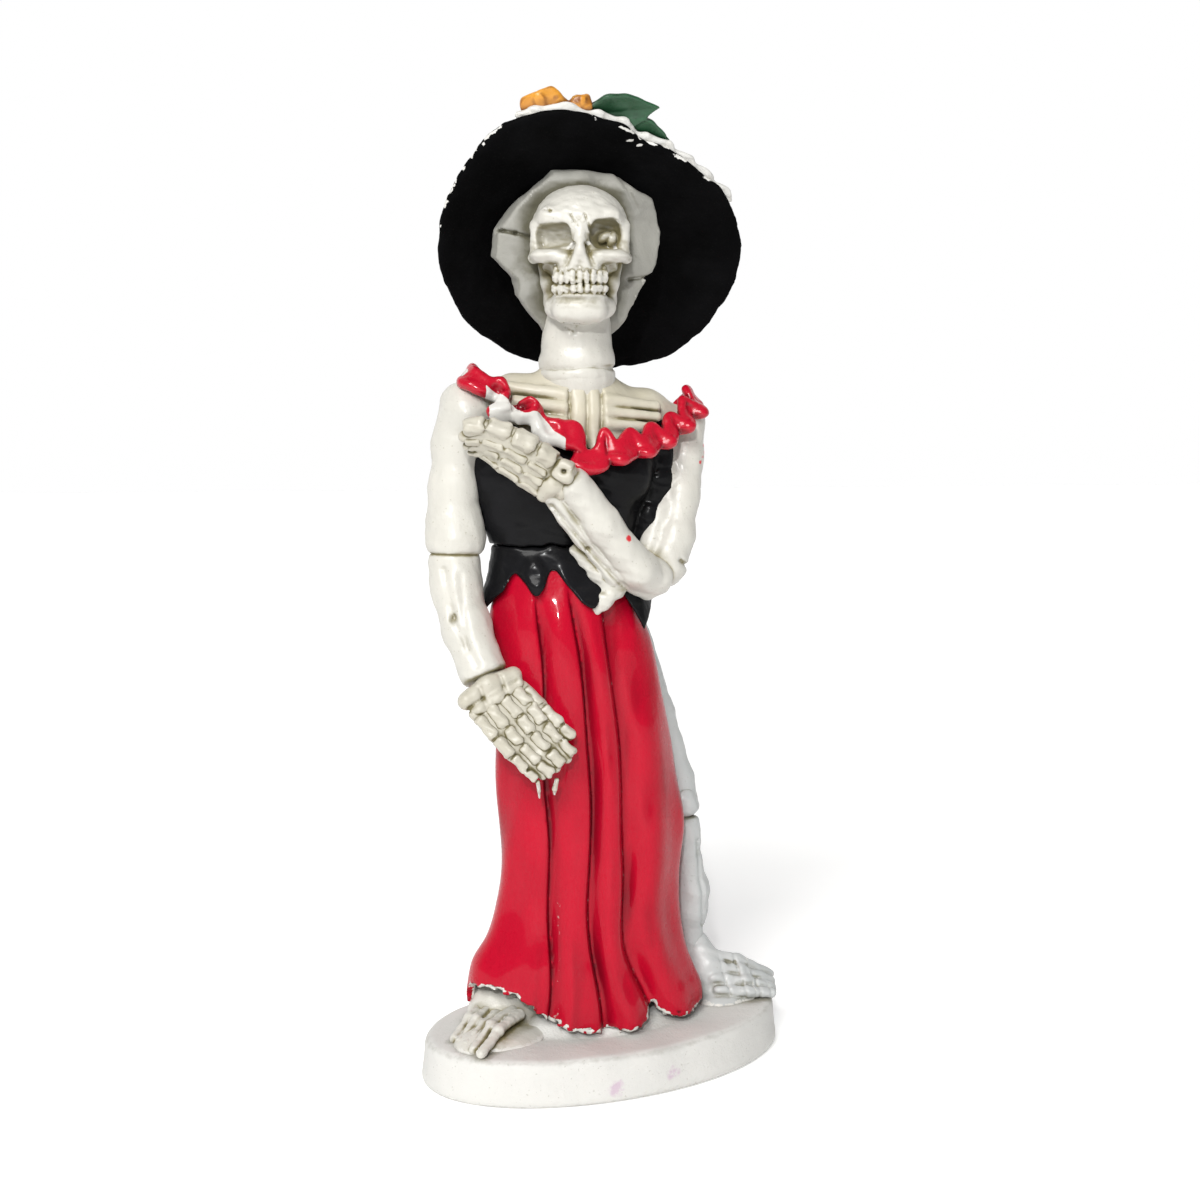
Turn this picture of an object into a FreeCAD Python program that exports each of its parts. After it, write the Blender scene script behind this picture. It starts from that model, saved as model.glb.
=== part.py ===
"""Papier-mache catrina figure: a skeleton lady on an oval plinth.

A wire armature stands in a plinth.  Rolled-paper bones and cores are threaded on the wires, and the
dress, the head and the hat are pressed paper shells glued over them.  Every size and every landmark
is a cell of the Dims sheet, in millimetres.  The figure faces -Y, +X is its left, +Z is up, and the
origin is the middle of the plinth's underside.
"""

import FreeCAD, Part
import math
import os

from FreeCAD import Placement, Rotation, Vector

doc = FreeCAD.newDocument("Catrina")
sheet = doc.addObject("Spreadsheet::Sheet", "Dims")
next_row = 1
nodes = []

UP = Vector(0, 0, 1)

# ---------------------------------------------------------------------------------------------
# Driving dimensions
# ---------------------------------------------------------------------------------------------

# Single sizes.
SIZES = {
    "plinth_length": 128.0,
    "plinth_width": 74.0,
    "plinth_height": 15.0,
    "plinth_turn": 13.0,
    "plinth_edge": 2.2,
    "wire_radius": 1.0,
    "wire_depth": 5.0,
    "skirt_wall": 3.0,
    "bodice_wall": 1.8,
    "peplum_wall": 1.6,
    "rib_proud": 1.3,
    "rib_height": 3.4,
    "rib_pitch": 5.0,
    "rib_top": 221.5,
    "rib_reach": 19.0,
    "rib_inner": 3.4,
    "clavicle_height": 4.0,
    "sternum_width": 5.0,
    "sternum_length": 22.0,
    "ruffle_radius": 4.4,
    "ruffle_width": 38.5,
    "ruffle_depth": 17.5,
    "ruffle_dip": 17.0,
    "ruffle_back_dip": 8.0,
    "ruffle_wave": 0.9,
    "ruffle_puffs": 31.0,
    "neck_ring_radius": 2.1,
    "neck_top_radius": 8.6,
    "neck_root_radius": 10.6,
    "head_turn": -11.0,
    "cranium_half_width": 16.4,
    "cranium_half_depth": 19.0,
    "cranium_half_height": 17.5,
    "face_half_width": 12.0,
    "face_half_depth": 11.0,
    "face_half_height": 15.0,
    "face_forward": 8.5,
    "face_drop": 11.0,
    "eye_radius": 4.7,
    "eye_spacing": 16.4,
    "eye_drop": 2.2,
    "nose_radius": 2.6,
    "nose_drop": 9.6,
    "mouth_drop": 18.0,
    "jaw_half_width": 11.0,
    "jaw_half_depth": 10.5,
    "jaw_half_height": 9.4,
    "jaw_drop": 19.0,
    "tooth_width": 1.7,
    "tooth_height": 3.0,
    "tooth_depth": 2.2,
    "tooth_arch": 8.6,
    "hood_half_width": 25.8,
    "hood_half_height": 28.0,
    "hood_half_depth": 18.0,
    "brim_tilt": 53.0,
    "brim_half_width": 50.0,
    "brim_half_height": 50.0,
    "brim_thickness": 3.0,
    "brim_droop": 6.0,
    "crown_root_radius": 25.0,
    "crown_top_radius": 20.0,
    "crown_height": 24.0,
    "crown_wall": 3.0,
    "band_height": 6.0,
    "band_wall": 1.2,
    "lace_radius": 1.7,
    "lace_inset": 1.2,
    "lace_start": -122.0,
    "lace_sweep": 118.0,
    "petal_radius": 4.6,
    "petal_thickness": 2.0,
    "petal_reach": 6.2,
    "petal_count": 5.0,
    "flower_eye_radius": 3.0,
    "leaf_half_length": 11.0,
    "leaf_half_width": 6.0,
    "leaf_thickness": 2.2,
    "foot_sole_drop": 10.0,
    "toe_radius": 2.0,
    "toe_tip_radius": 1.5,
    "toe_length": 9.0,
    "toe_pitch": 3.9,
    "knee_radius": 6.6,
    "finger_radius": 2.5,
    "fingertip_radius": 1.9,
    "finger_pitch": 5.3,
    "thumb_length": 8.5,
    "palm_thickness": 3.0,
    "carpal_half_depth": 4.2,
    "carpal_half_height": 4.6,
    "carpal_half_width": 8.0,
    "joint_gap": 0.35,
    "peplum_notch_radius": 5.2,
    "peplum_notches": 7.0,
}

# Landmarks of the pose: x, y, z.
LANDMARKS = {
    "shoulder_right": (-42.5, 2.0, 218.0),
    "elbow_right": (-50.8, 0.0, 172.5),
    "cuff_right": (-50.0, -1.5, 170.5),
    "wrist_right": (-41.5, -17.5, 131.5),
    "hand_right": (-39.8, -20.5, 126.5),
    "tips_right": (-23.6, -28.5, 104.5),
    "shoulder_left": (27.0, 3.0, 214.5),
    "elbow_left": (18.8, -7.5, 167.0),
    "cuff_left": (12.5, -14.5, 165.0),
    "wrist_left": (-17.6, -27.4, 191.5),
    "hand_left": (-22.0, -29.0, 195.5),
    "tips_left": (-48.2, -21.5, 210.5),
    "hip_left": (9.0, 9.0, 147.0),
    "knee_left": (31.0, 13.5, 80.5),
    "shin_left": (33.2, 13.5, 73.0),
    "ankle_left": (35.0, 13.8, 28.5),
    "wire_foot_left": (35.0, 13.8, 10.0),
    "hip_right": (-17.0, 0.0, 141.0),
    "ankle_right": (-26.0, 0.0, 24.0),
    "wire_foot_right": (-26.0, 0.0, 10.0),
    "spine_low": (-12.5, 1.5, 146.0),
    "spine_high": (-9.2, 1.0, 226.0),
    "neck_root": (-9.2, -1.0, 226.5),
    "neck_top": (-9.2, -1.0, 242.0),
    "cranium": (-9.4, -4.5, 268.5),
    "hood": (-9.0, 8.5, 268.5),
    "brim": (-2.0, 9.5, 272.0),
    "foot_right": (-36.0, -9.5, 15.0),
    "foot_left": (46.5, 9.0, 15.0),
    "bloom_large": (-12.0, -43.0, 1.5),
    "bloom_small": (1.5, -47.5, 0.5),
    "leaf_front": (13.0, -43.5, 0.5),
    "leaf_side": (24.0, -38.5, 0.5),
    "ruffle": (-8.8, 0.5, 224.0),
}

# Oval stations of the lofted shells: centre x, y, z, then half width and half depth.
STATIONS = {
    "core_hip": (-12.5, 1.0, 149.0, 20.5, 13.0),
    "core_waist": (-13.0, 0.5, 174.0, 22.4, 12.8),
    "core_breast": (-13.0, -0.5, 196.0, 29.6, 15.0),
    "core_shoulder": (-8.8, 0.5, 215.0, 35.5, 12.5),
    "core_top": (-9.0, 0.0, 226.0, 16.0, 8.5),
    "skirt_waist": (-12.8, 0.5, 158.0, 24.2, 16.6),
    "skirt_hip": (-12.0, 0.5, 140.0, 26.6, 19.0),
    "skirt_thigh": (-8.3, 0.5, 118.0, 28.6, 20.0),
    "skirt_knee": (-3.8, 0.5, 70.0, 30.8, 20.0),
    "skirt_calf": (-4.6, 0.5, 45.0, 34.5, 20.5),
    "skirt_hem": (-7.2, 0.0, 16.4, 39.8, 21.0),
    "pelvis_top": (-12.6, 1.0, 148.6, 20.0, 12.6),
    "pelvis_low": (-11.6, 1.0, 134.0, 21.5, 14.0),
    "peplum_top": (-13.0, 0.5, 176.0, 24.6, 15.0),
    "peplum_low": (-12.4, 0.0, 152.0, 27.6, 20.0),
}

# Tapered bones: the landmark at each end, and the radius there.
BONES = {
    "right_upper_arm": ("shoulder_right", "elbow_right", 6.8, 7.6),
    "right_forearm": ("cuff_right", "wrist_right", 7.6, 7.0),
    "left_upper_arm": ("shoulder_left", "elbow_left", 6.8, 6.4),
    "left_forearm": ("cuff_left", "wrist_left", 7.6, 6.4),
    "left_thigh": ("hip_left", "knee_left", 6.6, 5.8),
    "left_shin": ("shin_left", "ankle_left", 6.9, 4.6),
    "right_leg_core": ("hip_right", "ankle_right", 6.0, 4.4),
}


def cell(alias, value):
    """Adds one named number to the sheet."""
    global next_row
    sheet.set(f"A{next_row}", alias)
    sheet.set(f"B{next_row}", str(value))
    sheet.setAlias(f"B{next_row}", alias)
    next_row += 1


def fill_sheet():
    for alias, value in SIZES.items():
        cell(alias, value)
    for name, point in LANDMARKS.items():
        for axis, value in zip("xyz", point):
            cell(f"{name}_{axis}", value)
    for name, station in STATIONS.items():
        for part, value in zip(("x", "y", "z", "half_width", "half_depth"), station):
            cell(f"{name}_{part}", value)
    for name, (_, _, start_radius, end_radius) in BONES.items():
        cell(f"{name}_start_radius", start_radius)
        cell(f"{name}_end_radius", end_radius)
    doc.recompute()


def size(alias):
    return float(sheet.get(alias))


def point(name):
    return Vector(*(size(f"{name}_{axis}") for axis in "xyz"))


# ---------------------------------------------------------------------------------------------
# Building blocks
# ---------------------------------------------------------------------------------------------


def bind(obj, **cells):
    """Binds each named property to a sheet expression."""
    for prop, text in cells.items():
        obj.setExpression(prop, text)
    return obj


def dims(text):
    return f"Dims.{text}"


def primitive(kind, name, placement=None, **cells):
    obj = doc.addObject(f"Part::{kind}", name)
    bind(obj, **cells)
    if placement is not None:
        obj.Placement = placement
    return obj


def boolean(kind, name, base, tool):
    obj = doc.addObject(f"Part::{kind}", name)
    obj.Base = base
    obj.Tool = tool
    return obj


def gather(kind, name, members):
    """Fuses the members, or keeps them as separate solids of one compound."""
    if kind == "Fuse":
        obj = doc.addObject("Part::MultiFuse", name)
        obj.Shapes = members
    else:
        obj = doc.addObject("Part::Compound", name)
        obj.Links = members
    return obj


def node(obj, label):
    """Names a finished sub-part."""
    obj.Label = label
    nodes.append(obj)
    return obj


def aim(base, direction, roll=0.0):
    """A placement whose local Z runs along direction."""
    turn = Rotation(UP, direction).multiply(Rotation(UP, roll))
    return Placement(base, turn)


def span(start, end):
    """The sheet expression of the distance between two landmarks."""
    squares = [f"({dims(end)}_{a} - {dims(start)}_{a})^2" for a in "xyz"]
    return f"sqrt({' + '.join(squares)})"


def bone(label):
    """A tapered bone between its two landmarks."""
    start, end, _, _ = BONES[label]
    return primitive(
        "Cone",
        f"raw_{label}",
        aim(point(start), point(end) - point(start)),
        Radius1=dims(f"{label}_start_radius"),
        Radius2=dims(f"{label}_end_radius"),
        Height=span(start, end),
    )


def wire(label, *stops):
    """One bent armature wire through the named landmarks."""
    pieces = []
    for number, stop in enumerate(stops):
        joint = primitive("Sphere", f"{label}_bend_{number}", Placement(point(stop), Rotation()))
        bind(joint, Radius=dims("wire_radius"))
        pieces.append(joint)
        if number + 1 < len(stops):
            following = stops[number + 1]
            rod = primitive(
                "Cylinder",
                f"{label}_run_{number}",
                aim(point(stop), point(following) - point(stop)),
                Radius=dims("wire_radius"),
                Height=span(stop, following),
            )
            pieces.append(rod)
    return node(gather("Fuse", label, pieces), label)


def oval(name, station, grow=""):
    """One oval station, grown or shrunk by a sheet term such as '+ Dims.bodice_wall'."""
    ring = doc.addObject("Part::Ellipse", name)
    bind(
        ring,
        MajorRadius=f"{dims(station)}_half_width {grow}",
        MinorRadius=f"{dims(station)}_half_depth {grow}",
    )
    ring.Placement = Placement(point(station), Rotation())
    return ring


def loft(name, stations, grow=""):
    """A closed solid through oval stations."""
    obj = doc.addObject("Part::Loft", name)
    obj.Sections = [oval(f"{name}_{s}", s, grow) for s in stations]
    obj.Solid = True
    obj.Ruled = False
    return obj


def ellipsoid(name, placement, half_x, half_y, half_z):
    return primitive("Ellipsoid", name, placement, Radius1=half_z, Radius2=half_x, Radius3=half_y)


def block(name, placement, length, width, height):
    """A box centred on its placement."""
    box = primitive("Box", name, None, Length=length, Width=width, Height=height)
    box.recompute()
    middle = Vector(box.Length.Value, box.Width.Value, box.Height.Value) * -0.5
    box.Placement = placement.multiply(Placement(middle, Rotation()))
    return box


def cut(name, base, *tools):
    """Cuts each tool from the base in turn."""
    for number, tool in enumerate(tools):
        base = boolean("Cut", f"{name}_cut_{number}", base, tool)
    return base


# ---------------------------------------------------------------------------------------------
# Plinth and armature
# ---------------------------------------------------------------------------------------------


def origin_plane(body, role):
    return next(f for f in body.Origin.OriginFeatures if f.Role == role)


def make_plinth(leg_wires):
    """The oval plinth, with its rim eased and a hole for each leg wire."""
    body = doc.addObject("PartDesign::Body", "plinth_body")
    outline = body.newObject("Sketcher::SketchObject", "plinth_outline")
    outline.AttachmentSupport = [(origin_plane(body, "XY_Plane"), "")]
    outline.MapMode = "FlatFace"
    turn = math.radians(size("plinth_turn"))
    along = Vector(math.cos(turn), math.sin(turn), 0)
    across = Vector(-math.sin(turn), math.cos(turn), 0)
    outline.addGeometry(
        Part.Ellipse(along * size("plinth_length") / 2, across * size("plinth_width") / 2, Vector())
    )
    pad = body.newObject("PartDesign::Pad", "plinth_pad")
    pad.Profile = outline
    bind(pad, Length=dims("plinth_height"))
    doc.recompute()
    easing = body.newObject("PartDesign::Fillet", "plinth_rim")
    rims = [
        f"Edge{i}" for i, e in enumerate(pad.Shape.Edges, 1) if e.Closed
    ]
    easing.Base = (pad, rims)
    bind(easing, Radius=dims("plinth_edge"))
    body.Tip = easing
    return node(cut("plinth", body, *leg_wires), "plinth")


def make_armature():
    return {
        "legs": [
            wire("left_leg_wire", "wire_foot_left", "ankle_left", "knee_left", "hip_left"),
            wire("right_leg_wire", "wire_foot_right", "ankle_right", "hip_right"),
        ],
        "spine": wire("spine_wire", "spine_low", "spine_high", "cranium"),
        "arms": [
            wire("right_arm_wire", "shoulder_right", "elbow_right", "wrist_right"),
            wire("left_arm_wire", "shoulder_left", "elbow_left", "cuff_left", "wrist_left"),
        ],
    }


# ---------------------------------------------------------------------------------------------
# Feet and legs
# ---------------------------------------------------------------------------------------------


def make_foot(side, heading, half_length, half_width, instep, leg_wire):
    """A bony foot flat on the plinth, and the row of its five toes."""
    middle = point(f"foot_{side}")
    turn = Rotation(UP, heading)
    cell(f"foot_{side}_half_length", half_length)
    cell(f"foot_{side}_half_width", half_width)
    cell(f"foot_{side}_instep", instep)
    arch = ellipsoid(
        f"raw_{side}_foot",
        Placement(middle, turn),
        dims(f"foot_{side}_half_length"),
        dims(f"foot_{side}_half_width"),
        dims(f"foot_{side}_instep"),
    )
    under = block(
        f"under_{side}_foot",
        Placement(middle - UP * size("foot_sole_drop"), Rotation(UP, 7)),
        f"6 * {dims(f'foot_{side}_half_length')}",
        f"6 * {dims(f'foot_{side}_half_length')}",
        f"2 * {dims('foot_sole_drop')}",
    )
    toes = []
    ahead = turn.multVec(Vector(1, 0, 0))
    aside = turn.multVec(Vector(0, 1, 0))
    for number in range(-2, 3):
        root = middle + ahead * (half_length * 0.62 - abs(number) * 1.1)
        root += aside * number * size("toe_pitch") + UP * (size("toe_radius") + 0.2)
        toes.append(
            primitive(
                "Cone",
                f"{side}_toe_{number + 3}",
                aim(root, ahead),
                Radius1=dims("toe_radius"),
                Radius2=dims("toe_tip_radius"),
                Height=dims("toe_length"),
            )
        )
    toe_row = node(gather("Compound", f"{side}_toes", toes), f"{side}_toes")
    node(cut(f"{side}_foot", arch, under, leg_wire, toe_row), f"{side}_foot")
    return arch, toe_row


def make_legs(armature):
    left_wire, right_wire = armature["legs"]
    knee = primitive(
        "Sphere", "raw_left_knee", Placement(point("knee_left"), Rotation()), Radius=dims("knee_radius")
    )
    parts = [
        node(cut("left_knee", knee, left_wire), "left_knee"),
        node(cut("left_thigh", bone("left_thigh"), left_wire, knee), "left_thigh"),
        node(cut("left_shin", bone("left_shin"), left_wire, knee), "left_shin"),
        node(cut("right_leg_core", bone("right_leg_core"), right_wire), "right_leg_core"),
    ]
    return parts


# ---------------------------------------------------------------------------------------------
# Torso and dress
# ---------------------------------------------------------------------------------------------

CORE = ("core_hip", "core_waist", "core_breast", "core_shoulder", "core_top")
SKIRT = ("skirt_hem", "skirt_calf", "skirt_knee", "skirt_thigh", "skirt_hip", "skirt_waist")


def slab(name, low, high):
    """A wide horizontal slab between two heights, for cutting a loft to length."""
    tall = primitive(
        "Box", name, None, Length="400", Width="400", Height=f"{high} - {low}"
    )
    tall.Placement = Placement(Vector(-200, -200, 0), Rotation())
    tall.setExpression("Placement.Base.z", low)
    return tall


def make_torso(armature, core):
    return node(
        cut("torso_core", core, armature["spine"], *armature["arms"]), "torso_core"
    )


def make_pelvis(armature):
    block_of_paper = loft("raw_pelvis", ("pelvis_low", "pelvis_top"))
    return node(cut("pelvis", block_of_paper, armature["spine"], *armature["legs"]), "pelvis")


def make_skirt(feet, legs, core, pelvis_tool):
    outer = loft("skirt_outer", SKIRT)
    inner = loft("skirt_inner", SKIRT, f"- {dims('skirt_wall')}")
    return node(cut("skirt", outer, inner, core, pelvis_tool, *feet, *legs), "skirt")


def make_bodice(core):
    """The bodice: a thin shell over the torso core from the waist to the neckline."""
    grown = loft("bodice_outer", CORE, f"+ {dims('bodice_wall')}")
    band = slab("bodice_slab", "Dims.core_waist_z", "Dims.core_shoulder_z - 9")
    shell = boolean("Common", "bodice_slice", grown, band)
    return node(cut("bodice", shell, core), "bodice")


def make_peplum(skirt):
    """The flared flaps under the waist, with a round notch between each two points."""
    outer = loft("peplum_outer", ("peplum_low", "peplum_top"))
    inner = loft("peplum_inner", ("peplum_low", "peplum_top"), f"- {dims('peplum_wall')}")
    above = slab("peplum_above", "Dims.core_waist_z", "Dims.core_waist_z + 20")
    count = int(size("peplum_notches"))
    notches = []
    for number in range(count):
        bearing = 360.0 * (number + 0.5) / count
        outward = Rotation(UP, bearing).multVec(Vector(1, 0, 0))
        notches.append(
            primitive(
                "Cylinder",
                f"peplum_notch_{number}",
                aim(point("peplum_low") + outward * 8, outward),
                Radius=dims("peplum_notch_radius"),
                Height="40",
            )
        )
    teeth = gather("Compound", "peplum_notch_ring", notches)
    return node(cut("peplum", outer, inner, above, teeth, skirt), "peplum")


def make_ruffle():
    """The puffed frill round the open neckline, low in front and a little low behind."""
    middle = point("ruffle")
    count = int(size("ruffle_puffs"))
    puffs = []
    for number in range(count):
        angle = 2 * math.pi * number / count
        front = max(0.0, -math.sin(angle))
        behind = max(0.0, math.sin(angle))
        wave = size("ruffle_wave") * math.sin(number * 2.4)
        drop = size("ruffle_dip") * front**1.6 + size("ruffle_back_dip") * behind**1.6
        offset = Vector(
            size("ruffle_width") * math.cos(angle),
            size("ruffle_depth") * math.sin(angle),
            wave - drop,
        )
        place = Placement(middle + offset, Rotation())
        puffs.append(primitive("Sphere", f"puff_{number}", place, Radius=dims("ruffle_radius")))
    return gather("Fuse", "ruffle_tube", puffs)


def make_ribs(core):
    """Sternum, collar bones and two pairs of upper ribs standing proud of the chest."""
    proud = loft("rib_layer", CORE, f"+ {dims('rib_proud')}")
    middle = point("core_shoulder")
    made = []
    bar = block(
        "sternum_block",
        Placement(Vector(middle.x, middle.y - 20, size("rib_top") - size("sternum_length") / 2 + 2), Rotation()),
        dims("sternum_width"),
        "40",
        dims("sternum_length"),
    )
    layer = boolean("Common", "sternum_layer", proud, bar)
    made.append(node(cut("sternum", layer, core), "sternum"))
    for side, sign in (("right", -1), ("left", 1)):
        reach = size("rib_reach")
        across = middle.x + sign * (size("rib_inner") + reach / 2)
        for bone_name, height, drop, count in (
            ("clavicle", "clavicle_height", 0.0, 1),
            ("ribs", "rib_height", size("rib_pitch") + 0.6, 2),
        ):
            bars = []
            for number in range(count):
                level = size("rib_top") - drop - number * size("rib_pitch")
                bars.append(
                    block(
                        f"{side}_{bone_name}_block_{number}",
                        Placement(Vector(across, middle.y - 20, level), Rotation()),
                        dims("rib_reach"),
                        "40",
                        dims(height),
                    )
                )
            slices = [
                boolean("Common", f"{side}_{bone_name}_slice_{i}", proud, b) for i, b in enumerate(bars)
            ]
            shells = [cut(f"{side}_{bone_name}_{i}", s, core) for i, s in enumerate(slices)]
            made.append(
                node(gather("Compound", f"{side}_{bone_name}", shells), f"{side}_{bone_name}")
            )
    return made


# ---------------------------------------------------------------------------------------------
# Neck and head
# ---------------------------------------------------------------------------------------------


def make_neck(armature, core):
    column = primitive(
        "Cone",
        "raw_neck",
        aim(point("neck_root") - UP * 4, UP),
        Radius1=dims("neck_root_radius"),
        Radius2=dims("neck_top_radius"),
        Height="Dims.neck_top_z - Dims.neck_root_z + 4",
    )
    rings = []
    for number, (share, alias) in enumerate(((0.18, "neck_root_radius"), (0.55, "neck_top_radius"))):
        level = point("neck_root") * (1 - share) + point("neck_top") * share
        rings.append(
            primitive(
                "Torus",
                f"neck_ring_{number}",
                Placement(level, Rotation()),
                Radius1=f"{dims(alias)} - 0.6",
                Radius2=dims("neck_ring_radius"),
            )
        )
    ring_pair = gather("Compound", "neck_ring_pair", rings)
    return [
        node(cut("neck", column, armature["spine"], core), "neck"),
        node(cut("neck_rings", ring_pair, column, core), "neck_rings"),
    ]


def head_place(right=0.0, forward=0.0, down=0.0):
    """A placement in the turned head, measured from the middle of the cranium."""
    turn = Rotation(UP, size("head_turn"))
    shift = turn.multVec(Vector(right, -forward, -down))
    return Placement(point("cranium") + shift, turn)


def tooth_row(label, drop):
    """Eight teeth on an arch."""
    teeth = []
    for number in range(8):
        bearing = math.radians((number - 3.5) * 15.5)
        radius = size("tooth_arch")
        place = head_place(
            radius * math.sin(bearing),
            size("face_forward") + 1.2 + radius * math.cos(bearing),
            drop,
        )
        place = place.multiply(Placement(Vector(), Rotation(UP, math.degrees(bearing))))
        teeth.append(
            block(f"{label}_{number}", place, dims("tooth_width"), dims("tooth_depth"), dims("tooth_height"))
        )
    return node(gather("Compound", label, teeth), label)


def make_head(armature, neck_column):
    """Skull, lower jaw and both rows of teeth."""
    cranium = ellipsoid(
        "cranium_shape",
        head_place(),
        dims("cranium_half_width"),
        dims("cranium_half_depth"),
        dims("cranium_half_height"),
    )
    face = ellipsoid(
        "face_shape",
        head_place(0, size("face_forward"), size("face_drop")),
        dims("face_half_width"),
        dims("face_half_depth"),
        dims("face_half_height"),
    )
    skull = boolean("Fuse", "skull_mass", cranium, face)
    sockets = []
    for name, sign in (("right_eye", -1), ("left_eye", 1)):
        place = head_place(sign * size("eye_spacing") / 2, size("face_forward") + 10, size("eye_drop"))
        sockets.append(primitive("Sphere", name, place, Radius=dims("eye_radius")))
    nose = primitive(
        "Sphere",
        "nose_hollow",
        head_place(0, size("face_forward") + 11.5, size("nose_drop")),
        Radius=dims("nose_radius"),
    )
    jaw_shape = ellipsoid(
        "jaw_shape",
        head_place(0, size("face_forward"), size("jaw_drop")),
        dims("jaw_half_width"),
        dims("jaw_half_depth"),
        dims("jaw_half_height"),
    )
    upper = tooth_row("upper_teeth", size("mouth_drop") - size("tooth_height") / 2 - 0.1)
    lower = tooth_row("lower_teeth", size("mouth_drop") + size("tooth_height") / 2 + 0.1)
    split = block(
        "jaw_split",
        head_place(0, 0, size("mouth_drop") + 30),
        "80",
        "80",
        "60",
    )
    spine = armature["spine"]
    jaw = boolean("Common", "jaw_half", jaw_shape, split)
    return [
        node(cut("skull", skull, *sockets, nose, split, upper, lower, neck_column, spine), "skull"),
        node(cut("lower_jaw", jaw, upper, lower, neck_column, spine), "lower_jaw"),
    ]


def make_hood(skull_tools):
    """The pale cap of hair round the back of the skull."""
    mass = ellipsoid(
        "hood_shape",
        Placement(point("hood"), Rotation()),
        dims("hood_half_width"),
        dims("hood_half_depth"),
        dims("hood_half_height"),
    )
    backward = primitive(
        "Cylinder", "hood_backward", hat_place(0, 0, -2), Radius=f"2 * {dims('brim_half_width')}", Height="90"
    )
    plug = primitive(
        "Cylinder",
        "hood_plug",
        hat_place(0, 0, -10),
        Radius=f"{dims('crown_root_radius')} - {dims('crown_wall')} - 0.4",
        Height=f"10 + {dims('brim_thickness')} + 8",
    )
    ring = cut("hood_ring", backward, plug)
    return cut("hair_hood", mass, ring, *skull_tools)


# ---------------------------------------------------------------------------------------------
# Hat
# ---------------------------------------------------------------------------------------------


def hat_place(across=0.0, down=0.0, out=0.0):
    """A placement on the brim: local X across, local Y down the brim, local Z out through the crown."""
    turn = Rotation(Vector(1, 0, 0), -size("brim_tilt"))
    return Placement(point("brim"), turn).multiply(Placement(Vector(across, down, out), Rotation()))


def brim_disc(name, behind, inset=""):
    """A shallow dished disc: its rim lies nearer the face than its middle."""
    disc = primitive(
        "Cone",
        name,
        hat_place(0, 0, behind - size("brim_droop")),
        Radius1=f"{dims('brim_half_width')} {inset}",
        Radius2=dims("crown_root_radius"),
        Height=dims("brim_droop"),
    )
    return disc


def make_hat():
    """Brim, crown, band and the lace along the brim's edge."""
    thickness = size("brim_thickness")
    outer = brim_disc("brim_outer", thickness)
    rim = primitive(
        "Cylinder",
        "brim_rim",
        hat_place(0, 0, -size("brim_droop")),
        Radius=dims("brim_half_width"),
        Height=dims("brim_thickness"),
    )
    solid_brim = gather("Fuse", "brim_solid", [outer, rim])
    dish = brim_disc("brim_dish", 0.0, "- 0.4")
    bore = primitive(
        "Cylinder",
        "brim_bore",
        hat_place(0, 0, -20),
        Radius=f"{dims('crown_root_radius')} - {dims('crown_wall')}",
        Height="60",
    )
    brim = node(cut("hat_brim", solid_brim, dish, bore), "hat_brim")
    shell = primitive(
        "Cone",
        "crown_outer",
        hat_place(0, 0, thickness),
        Radius1=dims("crown_root_radius"),
        Radius2=dims("crown_top_radius"),
        Height=dims("crown_height"),
    )
    hollow = primitive(
        "Cone",
        "crown_hollow",
        hat_place(0, 0, thickness - size("crown_wall")),
        Radius1=f"{dims('crown_root_radius')} - {dims('crown_wall')}",
        Radius2=f"{dims('crown_top_radius')} - {dims('crown_wall')}",
        Height=dims("crown_height"),
    )
    crown = node(cut("hat_crown", shell, hollow), "hat_crown")
    sleeve = primitive(
        "Cylinder",
        "band_outer",
        hat_place(0, 0, thickness),
        Radius=f"{dims('crown_root_radius')} + {dims('band_wall')}",
        Height=dims("band_height"),
    )
    band = node(cut("hat_band", sleeve, shell, hollow), "hat_band")
    lace_ring = primitive(
        "Torus",
        "lace_ring",
        hat_place(0, 0, thickness - size("brim_droop") + size("lace_radius")),
        Radius1=f"{dims('brim_half_width')} - {dims('lace_inset')}",
        Radius2=dims("lace_radius"),
        Angle3=dims("lace_sweep"),
    )
    start = Placement(Vector(), Rotation(UP, size("lace_start")))
    lace_ring.Placement = lace_ring.Placement.multiply(start)
    lace = node(cut("lace_trim", lace_ring, solid_brim), "lace_trim")
    return {"brim": brim, "crown": crown, "band": band, "lace": lace, "bore": bore, "shell": shell}


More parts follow.
